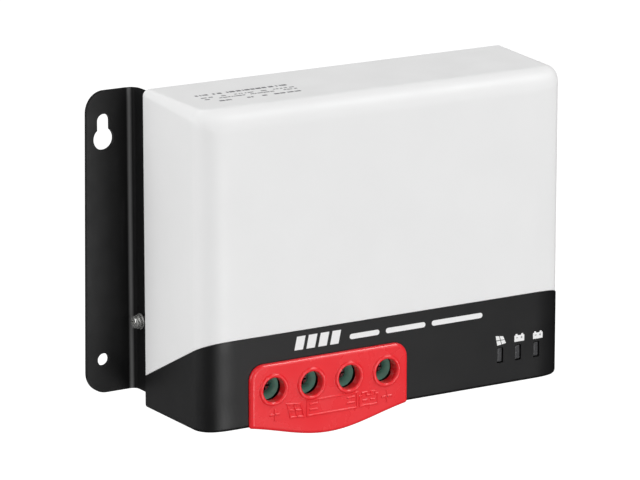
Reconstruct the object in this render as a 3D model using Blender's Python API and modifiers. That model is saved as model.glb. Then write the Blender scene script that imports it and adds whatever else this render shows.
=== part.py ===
"""Wall-mounted solar charge controller, modelled as the separate pieces it is built from.

The pieces are laid out in the body frame: X = 0 on the centre line of the body, Y = 0 on the wall
(the front faces -Y) and Z = 0 on the underside of the lower shell. An empty called assembly carries
them all and puts the origin on the back face of the mounting flange, halfway up it.
"""
import math

import bmesh
import bpy
from mathutils import Matrix, Vector

MM = 0.001
GAP = 0.3 * MM

# Body
BODY_WIDTH = 195.0 * MM
BODY_HEIGHT = 149.0 * MM
FRONT_Y = -67.7 * MM
WALL_GAP = 14.0 * MM
SHELL_BACK_Y = -WALL_GAP - GAP
SHELL_THICKNESS = 2.4 * MM
CORNER_RADIUS = 11.0 * MM
TOP_FRONT_RADIUS = 9.0 * MM
TOP_SIDE_RADIUS = 6.5 * MM
SEAM_FRONT_Z = 41.8 * MM
SEAM_SLOPE = 0.5
LOWER_SHELL_PROUD = 0.25 * MM
INNER_FRONT_Y = FRONT_Y + SHELL_THICKNESS

# Mounting plate, a folded steel sheet
SHEET = 2.0 * MM
PLATE_LOW_Z = 6.3 * MM
PLATE_HIGH_Z = 148.3 * MM
FLANGE_EDGE_X = -121.5 * MM
FLANGE_CORNER_RADIUS = 10.0 * MM
LEG_X = 94.8 * MM
FLANGE_BEND_RADIUS = 4.0 * MM
WEB_BEND_RADIUS = 2.0 * MM
WEB_FRONT_Y = -WALL_GAP
WEB_BACK_Y = WEB_FRONT_Y + SHEET
WEB_LOW_Z = 1.0 * MM
WEB_HIGH_Z = 147.8 * MM
RIGHT_LEG_HIGH_Z = 140.0 * MM
FOOT_EDGE_X = 82.0 * MM
FOOT_LOW_Z = 20.0 * MM
FOOT_HIGH_Z = 128.0 * MM
KEYHOLE_X = -111.3 * MM
KEYHOLE_Z = 126.3 * MM
KEYHOLE_RADIUS = 4.9 * MM
KEYHOLE_SLOT_WIDTH = 6.0 * MM
KEYHOLE_TOP_Z = 138.1 * MM
FIXING_HOLE_X = -112.6 * MM
FIXING_HOLE_Z = 22.0 * MM
FIXING_HOLE_RADIUS = 3.0 * MM

# Heat sink, an extrusion with upright fins
SINK_WIDTH = 140.0 * MM
SINK_LOW_Z = 10.0 * MM
SINK_HIGH_Z = 137.0 * MM
SINK_BASE = 3.0 * MM
SINK_FRONT_Y = WEB_BACK_Y + GAP
FIN_TIP_Y = -1.5 * MM
FIN_COUNT = 15
FIN_THICKNESS = 1.6 * MM

# Terminals
TERMINAL_COUNT = 4
TERMINAL_PITCH = 20.0 * MM
TERMINALS_CENTRE_X = -32.6 * MM
TERMINAL_Z = 16.9 * MM
BLOCK_WIDTH = 19.0 * MM
BLOCK_LOW_Z = 2.8 * MM
BLOCK_HIGH_Z = 27.0 * MM
BLOCK_FRONT_Y = -63.5 * MM
WELL_RADIUS = 4.7 * MM
SCREW_HEAD_TOP_Y = -62.1 * MM
SCREW_HEAD_HEIGHT = 4.6 * MM
SCREW_HEAD_RADIUS = 4.0 * MM
SCREW_SHANK_RADIUS = 2.5 * MM
SCREW_TIP_Y = -45.5 * MM
SHOULDER_THICKNESS = 2.5 * MM
SHANK_CLEARANCE = 0.35 * MM
CAGE_FRONT_Y = -48.2 * MM
CAGE_BACK_Y = -33.7 * MM
CAGE_WALL = 2.5 * MM
CAGE_BACK_WALL = 2.0 * MM
CAGE_HALF_WIDTH = 6.6 * MM
CAGE_HALF_HEIGHT = 5.5 * MM
CAGE_WINDOW_HALF_WIDTH = 5.1 * MM
CAGE_EDGE = 0.5 * MM
CAGE_PLAY = 0.6 * MM
BAR_HALF_WIDTH = 4.5 * MM
BAR_THICKNESS = 1.5 * MM
BAR_FRONT_Y = -45.2 * MM
BAR_CLEARANCE = 0.4 * MM
BAR_BEND_RADIUS = 1.5 * MM
BAR_END_RISE = 6.0 * MM

# Terminal cover
TERMINAL_COVER_HALF_WIDTH = 42.0 * MM
TERMINAL_COVER_TOP_Z = 29.1 * MM
TERMINAL_COVER_CORNER_Z = 0.3 * MM
TERMINAL_COVER_BELLY = 7.6 * MM
TERMINAL_COVER_EASE_WIDTH = 3.0 * MM
TERMINAL_COVER_EASE_DROP = 0.5 * MM
TERMINAL_COVER_CORNER_RADIUS = 6.6 * MM
TERMINAL_COVER_BACK_Y = FRONT_Y - LOWER_SHELL_PROUD - GAP
TERMINAL_COVER_THICKNESS = 1.9 * MM
TERMINAL_COVER_EDGE_RADIUS = 1.3 * MM
RIM_INSET = 4.6 * MM
RIM_LOW_Z = 4.3 * MM
RIM_HIGH_Z = 25.2 * MM
RIM_WALL = 1.6 * MM
RIM_BACK_Y = -64.4 * MM
COLLAR_FOOT_RADIUS = 8.0 * MM
COLLAR_TOP_RADIUS = 6.2 * MM
COLLAR_HEIGHT = 1.0 * MM
COLLAR_TUBE_WALL = 1.4 * MM
BORE_RADIUS = 5.0 * MM
BORE_MOUTH_WIDTH = 0.8 * MM
BORE_MOUTH_DEPTH = 0.7 * MM

# Circuit boards and what they carry
BOARD_FRONT_Y = -27.6 * MM
BOARD_BACK_Y = -26.0 * MM
BOARD_HALF_WIDTH = 82.0 * MM
BOARD_LOW_Z = 5.0 * MM
BOARD_HIGH_Z = 130.0 * MM
BOARD_HOLE_X = 77.0 * MM
BOARD_HOLE_ZS = (40.0 * MM, 124.0 * MM)
BOARD_HOLE_RADIUS = 1.8 * MM
STANDOFF_RADIUS = 3.2 * MM
STANDOFF_BORE_RADIUS = 1.7 * MM
INDUCTOR_CENTRE = Vector((-36.0 * MM, -39.8 * MM, 88.0 * MM))
INDUCTOR_RADIUS = 21.0 * MM
CORE_RADIUS = 8.0 * MM
WIRE_RADIUS = 1.1 * MM
WINDING_RADIUS = 10.6 * MM
WINDING_TURNS = 16
WINDING_STEPS_PER_TURN = 8
WINDING_SPAN = 320.0
CAPACITOR_PLACES = ((20.0 * MM, 64.0 * MM), (43.0 * MM, 64.0 * MM), (31.5 * MM, 90.0 * MM))
CAPACITOR_RADIUS = 9.0 * MM
CAPACITOR_LENGTH = 30.0 * MM
CAPACITOR_GROOVE = 0.8 * MM
CAPACITOR_FOOT_INSET = 0.6 * MM
TRANSISTOR_XS = (-57.0 * MM, -19.0 * MM, 19.0 * MM, 57.0 * MM)
TRANSISTOR_Z = 106.0 * MM
TRANSISTOR_HALF_WIDTH = 7.9 * MM
TRANSISTOR_HALF_HEIGHT = 10.0 * MM
TRANSISTOR_THICKNESS = 4.8 * MM
LEG_PITCH = 5.4 * MM
LEG_HALF_WIDTH = 0.6 * MM
LEG_THICKNESS = 1.0 * MM
LEG_SETBACK = 1.6 * MM
LEG_DROP = 5.0 * MM
PAD_THICKNESS = 0.6 * MM
PAD_MARGIN = 12.0 * MM
FUSE_LEFT_X = 62.0 * MM
FUSE_RIGHT_X = 68.0 * MM
FUSE_LOW_Z = 70.0 * MM
FUSE_HIGH_Z = 90.0 * MM
FUSE_HEIGHT = 14.0 * MM
FUSE_EDGE = 0.8 * MM

# Status indicators
INDICATOR_XS = (61.7 * MM, 71.7 * MM, 82.0 * MM)
INDICATOR_Z = 14.35 * MM
SLOT_WIDTH = 3.4 * MM
SLOT_HEIGHT = 7.5 * MM
LENS_CLEARANCE = 0.35 * MM
INDICATOR_BOARD_FRONT_Y = -58.4 * MM
INDICATOR_BOARD_BACK_Y = -56.8 * MM
INDICATOR_BOARD_LEFT_X = 52.0 * MM
INDICATOR_BOARD_RIGHT_X = 91.0 * MM
INDICATOR_BOARD_LOW_Z = 7.0 * MM
INDICATOR_BOARD_HIGH_Z = 24.0 * MM
INDICATOR_POST_XS = (56.0 * MM, 87.6 * MM)
INDICATOR_POST_RADIUS = 2.4 * MM
INDICATOR_PIN_RADIUS = 1.2 * MM
INDICATOR_HOLE_RADIUS = 1.6 * MM
LENS_SETBACK = 0.2 * MM
LENS_RIM_WIDTH = 1.0 * MM
LENS_RIM_THICKNESS = 1.2 * MM
LED_HALF_WIDTH = 1.0 * MM
LED_HALF_HEIGHT = 1.5 * MM
LED_DEPTH = 1.3 * MM
RIBBON_LEFT_X = 66.0 * MM
RIBBON_RIGHT_X = 78.0 * MM
RIBBON_LOW_Z = 20.0 * MM
RIBBON_HIGH_Z = 36.0 * MM
RIBBON_BEND_RADIUS = 6.0 * MM
RIBBON_THICKNESS = 0.9 * MM

# Fasteners; a screw's size is its head radius, head height, shank radius and shank length
BOARD_SCREW = (2.9 * MM, 1.9 * MM, 1.3 * MM, 8.0 * MM)
COVER_SCREW = (2.9 * MM, 2.2 * MM, 1.5 * MM, 13.0 * MM)
SINK_SCREW = (3.0 * MM, 2.2 * MM, 1.6 * MM, 7.0 * MM)
GROUND_SCREW = (3.5 * MM, 2.6 * MM, 1.75 * MM, 12.0 * MM)
COVER_SCREW_X = 88.0 * MM
COVER_SCREW_HIGH_Z = 138.0 * MM
COVER_SCREW_LOW_Z = 8.0 * MM
BOSS_RADIUS = 4.0 * MM
BOSS_FRONT_Y = -29.0 * MM
BOSS_RIB = 2.4 * MM
BOSS_BORE_RADIUS = 1.9 * MM
SINK_SCREW_ZS = (24.0 * MM, 126.0 * MM)
GROUND_SCREW_Y = -8.0 * MM
GROUND_SCREW_Z = 39.3 * MM
CLEARANCE_HOLE_RADIUS = 2.1 * MM
WASHER_RADIUS = 3.7 * MM
WASHER_THICKNESS = 0.9 * MM
LOCK_WASHER_RADIUS = 3.3 * MM
LOCK_WASHER_THICKNESS = 1.1 * MM
LOCK_WASHER_SLIT = 0.7 * MM
NUT_RADIUS = 3.6 * MM
NUT_HEIGHT = 3.2 * MM
SINK_POCKET_HALF = 4.5 * MM

ROUND_STEPS = 24
SMALL_STEPS = 16
FACING_FRONT = (math.radians(90), 0, 0)
FACING_BACK = (math.radians(-90), 0, 0)
FACING_LEFT = (0, math.radians(-90), 0)

MATERIALS = {
    "white_shell": ((0.84, 0.84, 0.84, 1), 0.45, 0.0),
    "black_shell": ((0.026, 0.027, 0.03, 1), 0.5, 0.0),
    "red_plastic": ((0.82, 0.045, 0.055, 1), 0.4, 0.0),
    "black_paint": ((0.018, 0.018, 0.019, 1), 0.45, 0.0),
    "aluminium": ((0.62, 0.63, 0.65, 1), 0.35, 1.0),
    "green_plastic": ((0.03, 0.33, 0.2, 1), 0.45, 0.0),
    "zinc_steel": ((0.62, 0.62, 0.6, 1), 0.3, 1.0),
    "tinned_copper": ((0.75, 0.66, 0.5, 1), 0.35, 1.0),
    "board_green": ((0.02, 0.16, 0.06, 1), 0.4, 0.0),
    "ferrite": ((0.42, 0.38, 0.1, 1), 0.6, 0.0),
    "copper": ((0.72, 0.3, 0.12, 1), 0.3, 1.0),
    "sleeve": ((0.03, 0.04, 0.1, 1), 0.35, 0.0),
    "black_resin": ((0.02, 0.02, 0.02, 1), 0.6, 0.0),
    "pad_grey": ((0.45, 0.47, 0.5, 1), 0.8, 0.0),
    "smoked_lens": ((0.02, 0.02, 0.022, 1), 0.2, 0.0),
    "led_resin": ((0.8, 0.8, 0.7, 1), 0.3, 0.0),
    "cable_grey": ((0.4, 0.4, 0.42, 1), 0.6, 0.0),
}


# ---------------------------------------------------------------- helpers

def clear_scene():
    for old in list(bpy.data.objects):
        bpy.data.objects.remove(old, do_unlink=True)


def new_collection(name):
    collection = bpy.data.collections.new(name)
    bpy.context.scene.collection.children.link(collection)
    return collection


def make_material(name):
    colour, roughness, metallic = MATERIALS[name]
    material = bpy.data.materials.new(name)
    material.use_nodes = True
    shader = material.node_tree.nodes["Principled BSDF"]
    shader.inputs["Base Color"].default_value = colour
    shader.inputs["Roughness"].default_value = roughness
    shader.inputs["Metallic"].default_value = metallic
    material.diffuse_color = colour
    return material


def place(thing, collection, location=(0, 0, 0), rotation=(0, 0, 0)):
    """Link an object, hang it on the assembly empty and put it at its place in the body frame."""
    collection.objects.link(thing)
    thing.parent = bpy.data.objects["assembly"]
    thing.location = location
    thing.rotation_euler = rotation
    return thing


def new_part(name, mesh, material, location=(0, 0, 0), rotation=(0, 0, 0)):
    thing = bpy.data.objects.new(name, mesh)
    place(thing, bpy.data.collections["charge_controller"], location, rotation)
    if not mesh.materials:
        mesh.materials.append(bpy.data.materials[material])
    return thing


def new_cutter(name, mesh, location=(0, 0, 0), rotation=(0, 0, 0)):
    thing = bpy.data.objects.new(name, mesh)
    place(thing, bpy.data.collections["cutters"], location, rotation)
    thing.hide_render = True
    thing.display_type = "WIRE"
    return thing


def mesh_of(bm, name):
    mesh = bpy.data.meshes.new(name)
    bm.to_mesh(mesh)
    bm.free()
    return mesh


def add_box(bm, low, high):
    """Add a box between two opposite corners to a bmesh."""
    size = [b - a for a, b in zip(low, high)]
    centre = [(a + b) / 2 for a, b in zip(low, high)]
    matrix = Matrix.Translation(centre) @ Matrix.Diagonal((*size, 1))
    return bmesh.ops.create_cube(bm, size=1.0, matrix=matrix)["verts"]


def box_mesh(name, *boxes):
    """A mesh of one or more boxes, each given as (low corner, high corner)."""
    bm = bmesh.new()
    for low, high in boxes:
        add_box(bm, low, high)
    return mesh_of(bm, name)


def add_rod(bm, start, end, radius, end_radius=None, steps=ROUND_STEPS):
    """Add a capped cylinder or cone between two points to a bmesh."""
    start = Vector(start)
    run = Vector(end) - start
    turn = run.to_track_quat("Z", "Y").to_matrix().to_4x4()
    matrix = Matrix.Translation(start + run / 2) @ turn
    bmesh.ops.create_cone(bm, cap_ends=True, segments=steps, radius1=radius,
                          radius2=radius if end_radius is None else end_radius,
                          depth=run.length, matrix=matrix)


def rods_mesh(name, rods, steps=ROUND_STEPS):
    """A mesh of rods, each given as (start, end, radius) or (start, end, radius, end radius)."""
    bm = bmesh.new()
    for rod in rods:
        add_rod(bm, *rod, steps=steps)
    return mesh_of(bm, name)


def arc(centre, radius, start, end, steps):
    """Points on a circular arc, both ends included, angles in degrees."""
    points = []
    for step in range(steps + 1):
        angle = math.radians(start + (end - start) * step / steps)
        points.append((centre[0] + radius * math.cos(angle), centre[1] + radius * math.sin(angle)))
    return points


def boolean(target, operand, operation="DIFFERENCE"):
    modifier = target.modifiers.new(operand.name, "BOOLEAN")
    modifier.operation = operation
    modifier.object = operand
    modifier.solver = "EXACT"


def bevel(thing, width, segments=2, weighted=False):
    modifier = thing.modifiers.new("rounded_edges", "BEVEL")
    modifier.width = width
    modifier.segments = segments
    modifier.limit_method = "WEIGHT" if weighted else "ANGLE"
    modifier.angle_limit = math.radians(50)


def solidify(thing, thickness, offset):
    modifier = thing.modifiers.new("wall", "SOLIDIFY")
    modifier.thickness = thickness
    modifier.offset = offset
    modifier.use_even_offset = True


def shade_round(mesh, angle=40):
    mesh.shade_smooth()
    mesh.set_sharp_from_angle(angle=math.radians(angle))


def baked_mesh(thing, name):
    """The mesh that an object's modifiers make, with round faces shaded smooth."""
    bpy.context.view_layer.update()
    graph = bpy.context.evaluated_depsgraph_get()
    mesh = bpy.data.meshes.new_from_object(thing.evaluated_get(graph))
    mesh.name = name
    bm = bmesh.new()
    bm.from_mesh(mesh)
    bmesh.ops.remove_doubles(bm, verts=bm.verts, dist=0.001 * MM)
    bm.to_mesh(mesh)
    bm.free()
    shade_round(mesh)
    return mesh


def bake(thing):
    """Replace an object's modifiers by the mesh they make."""
    mesh = baked_mesh(thing, thing.name)
    thing.modifiers.clear()
    thing.data = mesh


def outline_mesh(name, points, thickness):
    """A flat plate from a closed outline in the local XY plane, centred on that plane."""
    curve = bpy.data.curves.new(name, "CURVE")
    curve.dimensions = "2D"
    curve.fill_mode = "BOTH"
    curve.extrude = thickness / 2
    spline = curve.splines.new("POLY")
    spline.points.add(len(points) - 1)
    for point, (x, y) in zip(spline.points, points):
        point.co = (x, y, 0, 1)
    spline.use_cyclic_u = True
    return curve_mesh(name, curve)


def curve_mesh(name, curve):
    guide = bpy.data.objects.new(name + "_curve", curve)
    bpy.context.scene.collection.objects.link(guide)
    mesh = baked_mesh(guide, name)
    bpy.data.objects.remove(guide)
    return mesh


def folded_sheet_mesh(name, path, low, high, across):
    """An open surface that follows a path and runs straight from low to high across it.

    across is "Z" for a path in X and Y, and "X" for a path in Y and Z.
    """
    bm = bmesh.new()
    rows = []
    for a, b in path:
        if across == "Z":
            ends = ((a, b, low), (a, b, high))
        else:
            ends = ((low, a, b), (high, a, b))
        rows.append([bm.verts.new(end) for end in ends])
    for first, second in zip(rows, rows[1:]):
        bm.faces.new((first[0], second[0], second[1], first[1]))
    return mesh_of(bm, name)


def turned(name, material, profile, location, rotation, steps=ROUND_STEPS):
    """A turned piece: the profile holds (radius, height) pairs from the top down its outer side."""
    bm = bmesh.new()
    verts = [bm.verts.new((radius, 0, height)) for radius, height in profile]
    for first, second in zip(verts, verts[1:]):
        bm.edges.new((first, second))
    thing = new_part(name, mesh_of(bm, name), material, location, rotation)
    modifier = thing.modifiers.new("turn", "SCREW")
    modifier.steps = steps
    modifier.render_steps = steps
    modifier.use_merge_vertices = True
    modifier.merge_threshold = 0.00001
    return thing


def screw_profile(head_radius, head_height, shank_radius, length):
    """Pan head on top of a plain shank that ends in a small chamfer; height 0 is under the head."""
    chamfer = shank_radius * 0.3
    return [
        (0, head_height),
        (head_radius * 0.6, head_height),
        (head_radius * 0.92, head_height * 0.75),
        (head_radius, head_height * 0.4),
        (head_radius, 0),
        (shank_radius, 0),
        (shank_radius, -length + chamfer),
        (shank_radius - chamfer, -length),
        (0, -length),
    ]


def make_screw(name, place_at, rotation, head_radius, head_height, shank_radius, length):
    """A cross-recessed screw whose origin is on its axis, under the head."""
    profile = screw_profile(head_radius, head_height, shank_radius, length)
    thing = turned(name, "zinc_steel", profile, place_at, rotation, SMALL_STEPS)
    reach = head_radius * 0.6
    half = head_radius * 0.13
    floor = head_height * 0.45
    top = head_height + MM
    for label, x, y in (("a", reach, half), ("b", half, reach)):
        arm = box_mesh("recess", ((-x, -y, floor), (x, y, top)))
        boolean(thing, new_cutter(f"{name}_recess_{label}", arm, place_at, rotation))
    return thing


def terminal_xs():
    first = TERMINALS_CENTRE_X - (TERMINAL_COUNT - 1) / 2 * TERMINAL_PITCH
    return [first + index * TERMINAL_PITCH for index in range(TERMINAL_COUNT)]


# ---------------------------------------------------------------- mounting plate and heat sink

def plate_path():
    """Middle line of the folded sheet in X and Y, from the flange's edge to the right foot's edge."""
    middle = SHEET / 2
    path = [(FLANGE_EDGE_X, -middle)]
    path += arc((-LEG_X - FLANGE_BEND_RADIUS, -middle - FLANGE_BEND_RADIUS),
                FLANGE_BEND_RADIUS, 90, 0, 6)
    path += arc((-LEG_X + WEB_BEND_RADIUS, WEB_FRONT_Y + middle + WEB_BEND_RADIUS),
                WEB_BEND_RADIUS, 180, 270, 4)
    path += arc((LEG_X - WEB_BEND_RADIUS, WEB_FRONT_Y + middle + WEB_BEND_RADIUS),
                WEB_BEND_RADIUS, 270, 360, 4)
    path += arc((LEG_X - WEB_BEND_RADIUS, -middle - WEB_BEND_RADIUS),
                WEB_BEND_RADIUS, 0, 90, 4)
    path.append((FOOT_EDGE_X, -middle))
    return path


def keyhole_outline():
    half = KEYHOLE_SLOT_WIDTH / 2
    neck = math.degrees(math.acos(half / KEYHOLE_RADIUS))
    points = arc((0, 0), KEYHOLE_RADIUS, 180 - neck, 360 + neck, 20)
    slot_centre = (0, KEYHOLE_TOP_Z - KEYHOLE_Z - half)
    points += arc(slot_centre, half, 0, 180, 8)
    return points


def round_flange_corners(thing):
    """Round the two free corners of the flange on the open sheet, before it gets its thickness."""
    group = thing.vertex_groups.new(name="flange_corners")
    corners = [v.index for v in thing.data.vertices if abs(v.co.x - FLANGE_EDGE_X) < 0.01 * MM]
    group.add(corners, 1.0, "REPLACE")
    modifier = thing.modifiers.new("flange_corners", "BEVEL")
    modifier.affect = "VERTICES"
    modifier.limit_method = "VGROUP"
    modifier.vertex_group = group.name
    modifier.width = FLANGE_CORNER_RADIUS
    modifier.segments = 7


def cover_screw_places():
    places = []
    for side in (-1, 1):
        places.append((side * COVER_SCREW_X, COVER_SCREW_HIGH_Z))
        places.append((side * COVER_SCREW_X, COVER_SCREW_LOW_Z))
    return places


def make_mounting_plate():
    sheet = folded_sheet_mesh("mounting_plate", plate_path(), PLATE_LOW_Z, PLATE_HIGH_Z, "Z")
    plate = new_part("mounting_plate", sheet, "black_paint")
    round_flange_corners(plate)
    solidify(plate, SHEET, 0)

    straight = LEG_X - WEB_BEND_RADIUS
    inside = LEG_X - SHEET / 2
    far = 130 * MM
    over = 5 * MM
    tongue = box_mesh("tongue", (
        (-straight, WEB_FRONT_Y, WEB_LOW_Z), (straight, WEB_BACK_Y, PLATE_LOW_Z + over)))
    boolean(plate, new_cutter("web_tongue", tongue), "UNION")
    trims = box_mesh(
        "trims",
        ((-straight, WEB_FRONT_Y - over, WEB_HIGH_Z), (far, over, PLATE_HIGH_Z + over)))
    boolean(plate, new_cutter("web_top_trim", trims))
    leg_top = box_mesh(
        "leg_top",
        ((FOOT_EDGE_X - over, WEB_BACK_Y + GAP, RIGHT_LEG_HIGH_Z), (far, over, PLATE_HIGH_Z)))
    boolean(plate, new_cutter("right_leg_trim", leg_top))
    foot_ends = box_mesh(
        "foot_ends",
        ((FOOT_EDGE_X - over, -SHEET - MM, 0), (inside, over, FOOT_LOW_Z)),
        ((FOOT_EDGE_X - over, -SHEET - MM, FOOT_HIGH_Z), (inside, over, RIGHT_LEG_HIGH_Z + over)))
    boolean(plate, new_cutter("foot_end_trims", foot_ends))

    keyhole = outline_mesh("keyhole", keyhole_outline(), 3 * SHEET)
    boolean(plate, new_cutter("keyhole_cutter", keyhole, (KEYHOLE_X, 0, KEYHOLE_Z), FACING_FRONT))
    rods = [((FIXING_HOLE_X, -far, FIXING_HOLE_Z), (FIXING_HOLE_X, far, FIXING_HOLE_Z),
             FIXING_HOLE_RADIUS)]
    for x, z in cover_screw_places():
        rods.append(((x, WEB_FRONT_Y - over, z), (x, WEB_BACK_Y + over, z), CLEARANCE_HOLE_RADIUS))
    for z in SINK_SCREW_ZS:
        rods.append(((0, WEB_FRONT_Y - over, z), (0, WEB_BACK_Y + over, z), CLEARANCE_HOLE_RADIUS))
    rods.append(((-LEG_X - over, GROUND_SCREW_Y, GROUND_SCREW_Z),
                 (-LEG_X + over, GROUND_SCREW_Y, GROUND_SCREW_Z), CLEARANCE_HOLE_RADIUS))
    boolean(plate, new_cutter("plate_holes", rods_mesh("plate_holes", rods, SMALL_STEPS)))


def sink_outline():
    """Cross-section of the finned extrusion: a base with evenly spaced fins towards the wall."""
    half = SINK_WIDTH / 2
    base_back = SINK_FRONT_Y + SINK_BASE
    step = (SINK_WIDTH - FIN_THICKNESS) / (FIN_COUNT - 1)
    points = [(-half, SINK_FRONT_Y), (half, SINK_FRONT_Y)]
    for index in reversed(range(FIN_COUNT)):
        left = -half + index * step
        right = left + FIN_THICKNESS
        if index < FIN_COUNT - 1:
            points.append((right, base_back))
        points.append((right, FIN_TIP_Y))
        points.append((left, FIN_TIP_Y))
        if index > 0:
            points.append((left, base_back))
    return points


def make_heat_sink():
    length = SINK_HIGH_Z - SINK_LOW_Z
    outline = outline_mesh("heat_sink", sink_outline(), length)
    sink = new_part("heat_sink", outline, "aluminium", (0, 0, SINK_LOW_Z + length / 2))
    rods = []
    pockets = []
    reach = 5 * MM
    for z in SINK_SCREW_ZS:
        rods.append(((0, SINK_FRONT_Y - reach, z), (0, SINK_FRONT_Y + SINK_BASE + reach, z),
                     CLEARANCE_HOLE_RADIUS))
        pockets.append(((-SINK_POCKET_HALF, SINK_FRONT_Y + SINK_BASE, z - SINK_POCKET_HALF),
                        (SINK_POCKET_HALF, 0, z + SINK_POCKET_HALF)))
    boolean(sink, new_cutter("sink_pockets", box_mesh("sink_pockets", *pockets)))
    boolean(sink, new_cutter("sink_holes", rods_mesh("sink_holes", rods, SMALL_STEPS)))


# ---------------------------------------------------------------- shells

def open_block_mesh(name, half_width, front_y, low_z, high_z):
    """Front, sides, top and bottom of a block open at the back, with its edges' radii as weights."""
    bm = bmesh.new()
    add_box(bm, (-half_width, front_y, low_z), (half_width, SHELL_BACK_Y, high_z))
    back = [face for face in bm.faces if face.normal.y > 0.5]
    bmesh.ops.delete(bm, geom=back, context="FACES_ONLY")
    weights = bm.edges.layers.float.new("bevel_weight_edge")
    for edge in bm.edges:
        middle = (edge.verts[0].co + edge.verts[1].co) / 2
        at_front = abs(middle.y - front_y) < MM
        at_top = abs(middle.z - high_z) < MM
        at_side = abs(abs(middle.x) - half_width) < MM
        if at_front and at_side:
            edge[weights] = 1.0
        elif at_front and at_top:
            edge[weights] = TOP_FRONT_RADIUS / CORNER_RADIUS
        elif at_side and at_top:
            edge[weights] = TOP_SIDE_RADIUS / CORNER_RADIUS
    return mesh_of(bm, name)


def seam_cutter(name, above):
    """A wide slab whose face is the slanting seam; above keeps what lies over the seam."""
    tilt = math.atan(SEAM_SLOPE)
    normal = Vector((0, math.sin(tilt), math.cos(tilt)))
    depth = 200 * MM
    side = -1 if above else 1
    centre = Vector((0, FRONT_Y, SEAM_FRONT_Z)) + side * normal * (depth / 2 - GAP / 2)
    half = 150 * MM
    slab = box_mesh(name, ((-half, -half, -depth / 2), (half, half, depth / 2)))
    return new_cutter(name, slab, centre, (-tilt, 0, 0))


def add_shell_bosses(shell, label, boss_z, towards_z):
    """Two screw bosses, each tied to the side wall and to the top or bottom wall by ribs."""
    rods = []
    bores = []
    for side in (-1, 1):
        x = side * COVER_SCREW_X
        wall_x = side * (BODY_WIDTH / 2 - SHELL_THICKNESS / 2)
        rib = box_mesh(
            "rib",
            ((min(x, wall_x), BOSS_FRONT_Y, boss_z - BOSS_RIB / 2),
             (max(x, wall_x), SHELL_BACK_Y, boss_z + BOSS_RIB / 2)))
        boolean(shell, new_cutter(f"{label}_side_rib_{side + 1}", rib), "UNION")
        post = box_mesh(
            "post",
            ((x - BOSS_RIB / 2, BOSS_FRONT_Y, min(boss_z, towards_z)),
             (x + BOSS_RIB / 2, SHELL_BACK_Y, max(boss_z, towards_z))))
        boolean(shell, new_cutter(f"{label}_end_rib_{side + 1}", post), "UNION")
        rods.append(((x, SHELL_BACK_Y, boss_z), (x, BOSS_FRONT_Y - MM, boss_z), BOSS_RADIUS))
        bores.append(((x, SHELL_BACK_Y + MM, boss_z), (x, BOSS_FRONT_Y + MM, boss_z),
                      BOSS_BORE_RADIUS))
    boolean(shell, new_cutter(f"{label}_bosses", rods_mesh("bosses", rods, SMALL_STEPS)), "UNION")
    boolean(shell, new_cutter(f"{label}_boss_bores", rods_mesh("bores", bores, SMALL_STEPS)))


def make_upper_cover():
    mesh = open_block_mesh("upper_cover", BODY_WIDTH / 2, FRONT_Y, 0, BODY_HEIGHT)
    cover = new_part("upper_cover", mesh, "white_shell")
    bevel(cover, CORNER_RADIUS, segments=6, weighted=True)
    solidify(cover, SHELL_THICKNESS, -1)
    boolean(cover, seam_cutter("seam_below", above=True))
    add_shell_bosses(cover, "cover", COVER_SCREW_HIGH_Z, BODY_HEIGHT - SHELL_THICKNESS / 2)
    bake(cover)


def make_lower_shell():
    half_width = BODY_WIDTH / 2 + LOWER_SHELL_PROUD
    mesh = open_block_mesh("lower_shell", half_width, FRONT_Y - LOWER_SHELL_PROUD, 0, BODY_HEIGHT)
    shell = new_part("lower_shell", mesh, "black_shell")
    bevel(shell, CORNER_RADIUS, segments=6, weighted=True)
    solidify(shell, SHELL_THICKNESS + LOWER_SHELL_PROUD, -1)
    boolean(shell, seam_cutter("seam_above", above=False))
    add_shell_bosses(shell, "shell", COVER_SCREW_LOW_Z, SHELL_THICKNESS / 2)

    over = 5 * MM
    reach = TERMINAL_COVER_HALF_WIDTH - RIM_INSET + GAP
    window = box_mesh(
        "window",
        ((TERMINALS_CENTRE_X - reach, FRONT_Y - over, RIM_LOW_Z - GAP),
         (TERMINALS_CENTRE_X + reach, INNER_FRONT_Y + over, RIM_HIGH_Z + GAP)))
    boolean(shell, new_cutter("terminal_window", window))

    entries = []
    for x in terminal_xs():
        half = CAGE_WINDOW_HALF_WIDTH + GAP
        entries.append(((x - half, CAGE_FRONT_Y + CAGE_WALL, -over), (x + half, CAGE_BACK_Y, over)))
    boolean(shell, new_cutter("wire_entries", box_mesh("wire_entries", *entries)))

    slots = []
    for x in INDICATOR_XS:
        slots.append(((x - SLOT_WIDTH / 2, FRONT_Y - over, INDICATOR_Z - SLOT_HEIGHT / 2),
                      (x + SLOT_WIDTH / 2, INNER_FRONT_Y + over, INDICATOR_Z + SLOT_HEIGHT / 2)))
    boolean(shell, new_cutter("indicator_slots", box_mesh("indicator_slots", *slots)))

    posts = []
    pins = []
    for x in INDICATOR_POST_XS:
        foot = (x, INNER_FRONT_Y - MM, INDICATOR_Z)
        posts.append((foot, (x, INDICATOR_BOARD_FRONT_Y - GAP, INDICATOR_Z), INDICATOR_POST_RADIUS))
        pins.append((foot, (x, INDICATOR_BOARD_BACK_Y + MM, INDICATOR_Z), INDICATOR_PIN_RADIUS))
    boolean(shell, new_cutter("board_posts", rods_mesh("posts", posts, SMALL_STEPS)), "UNION")
    boolean(shell, new_cutter("board_pins", rods_mesh("pins", pins, SMALL_STEPS)), "UNION")
    bake(shell)


# ---------------------------------------------------------------- terminal cover

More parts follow.
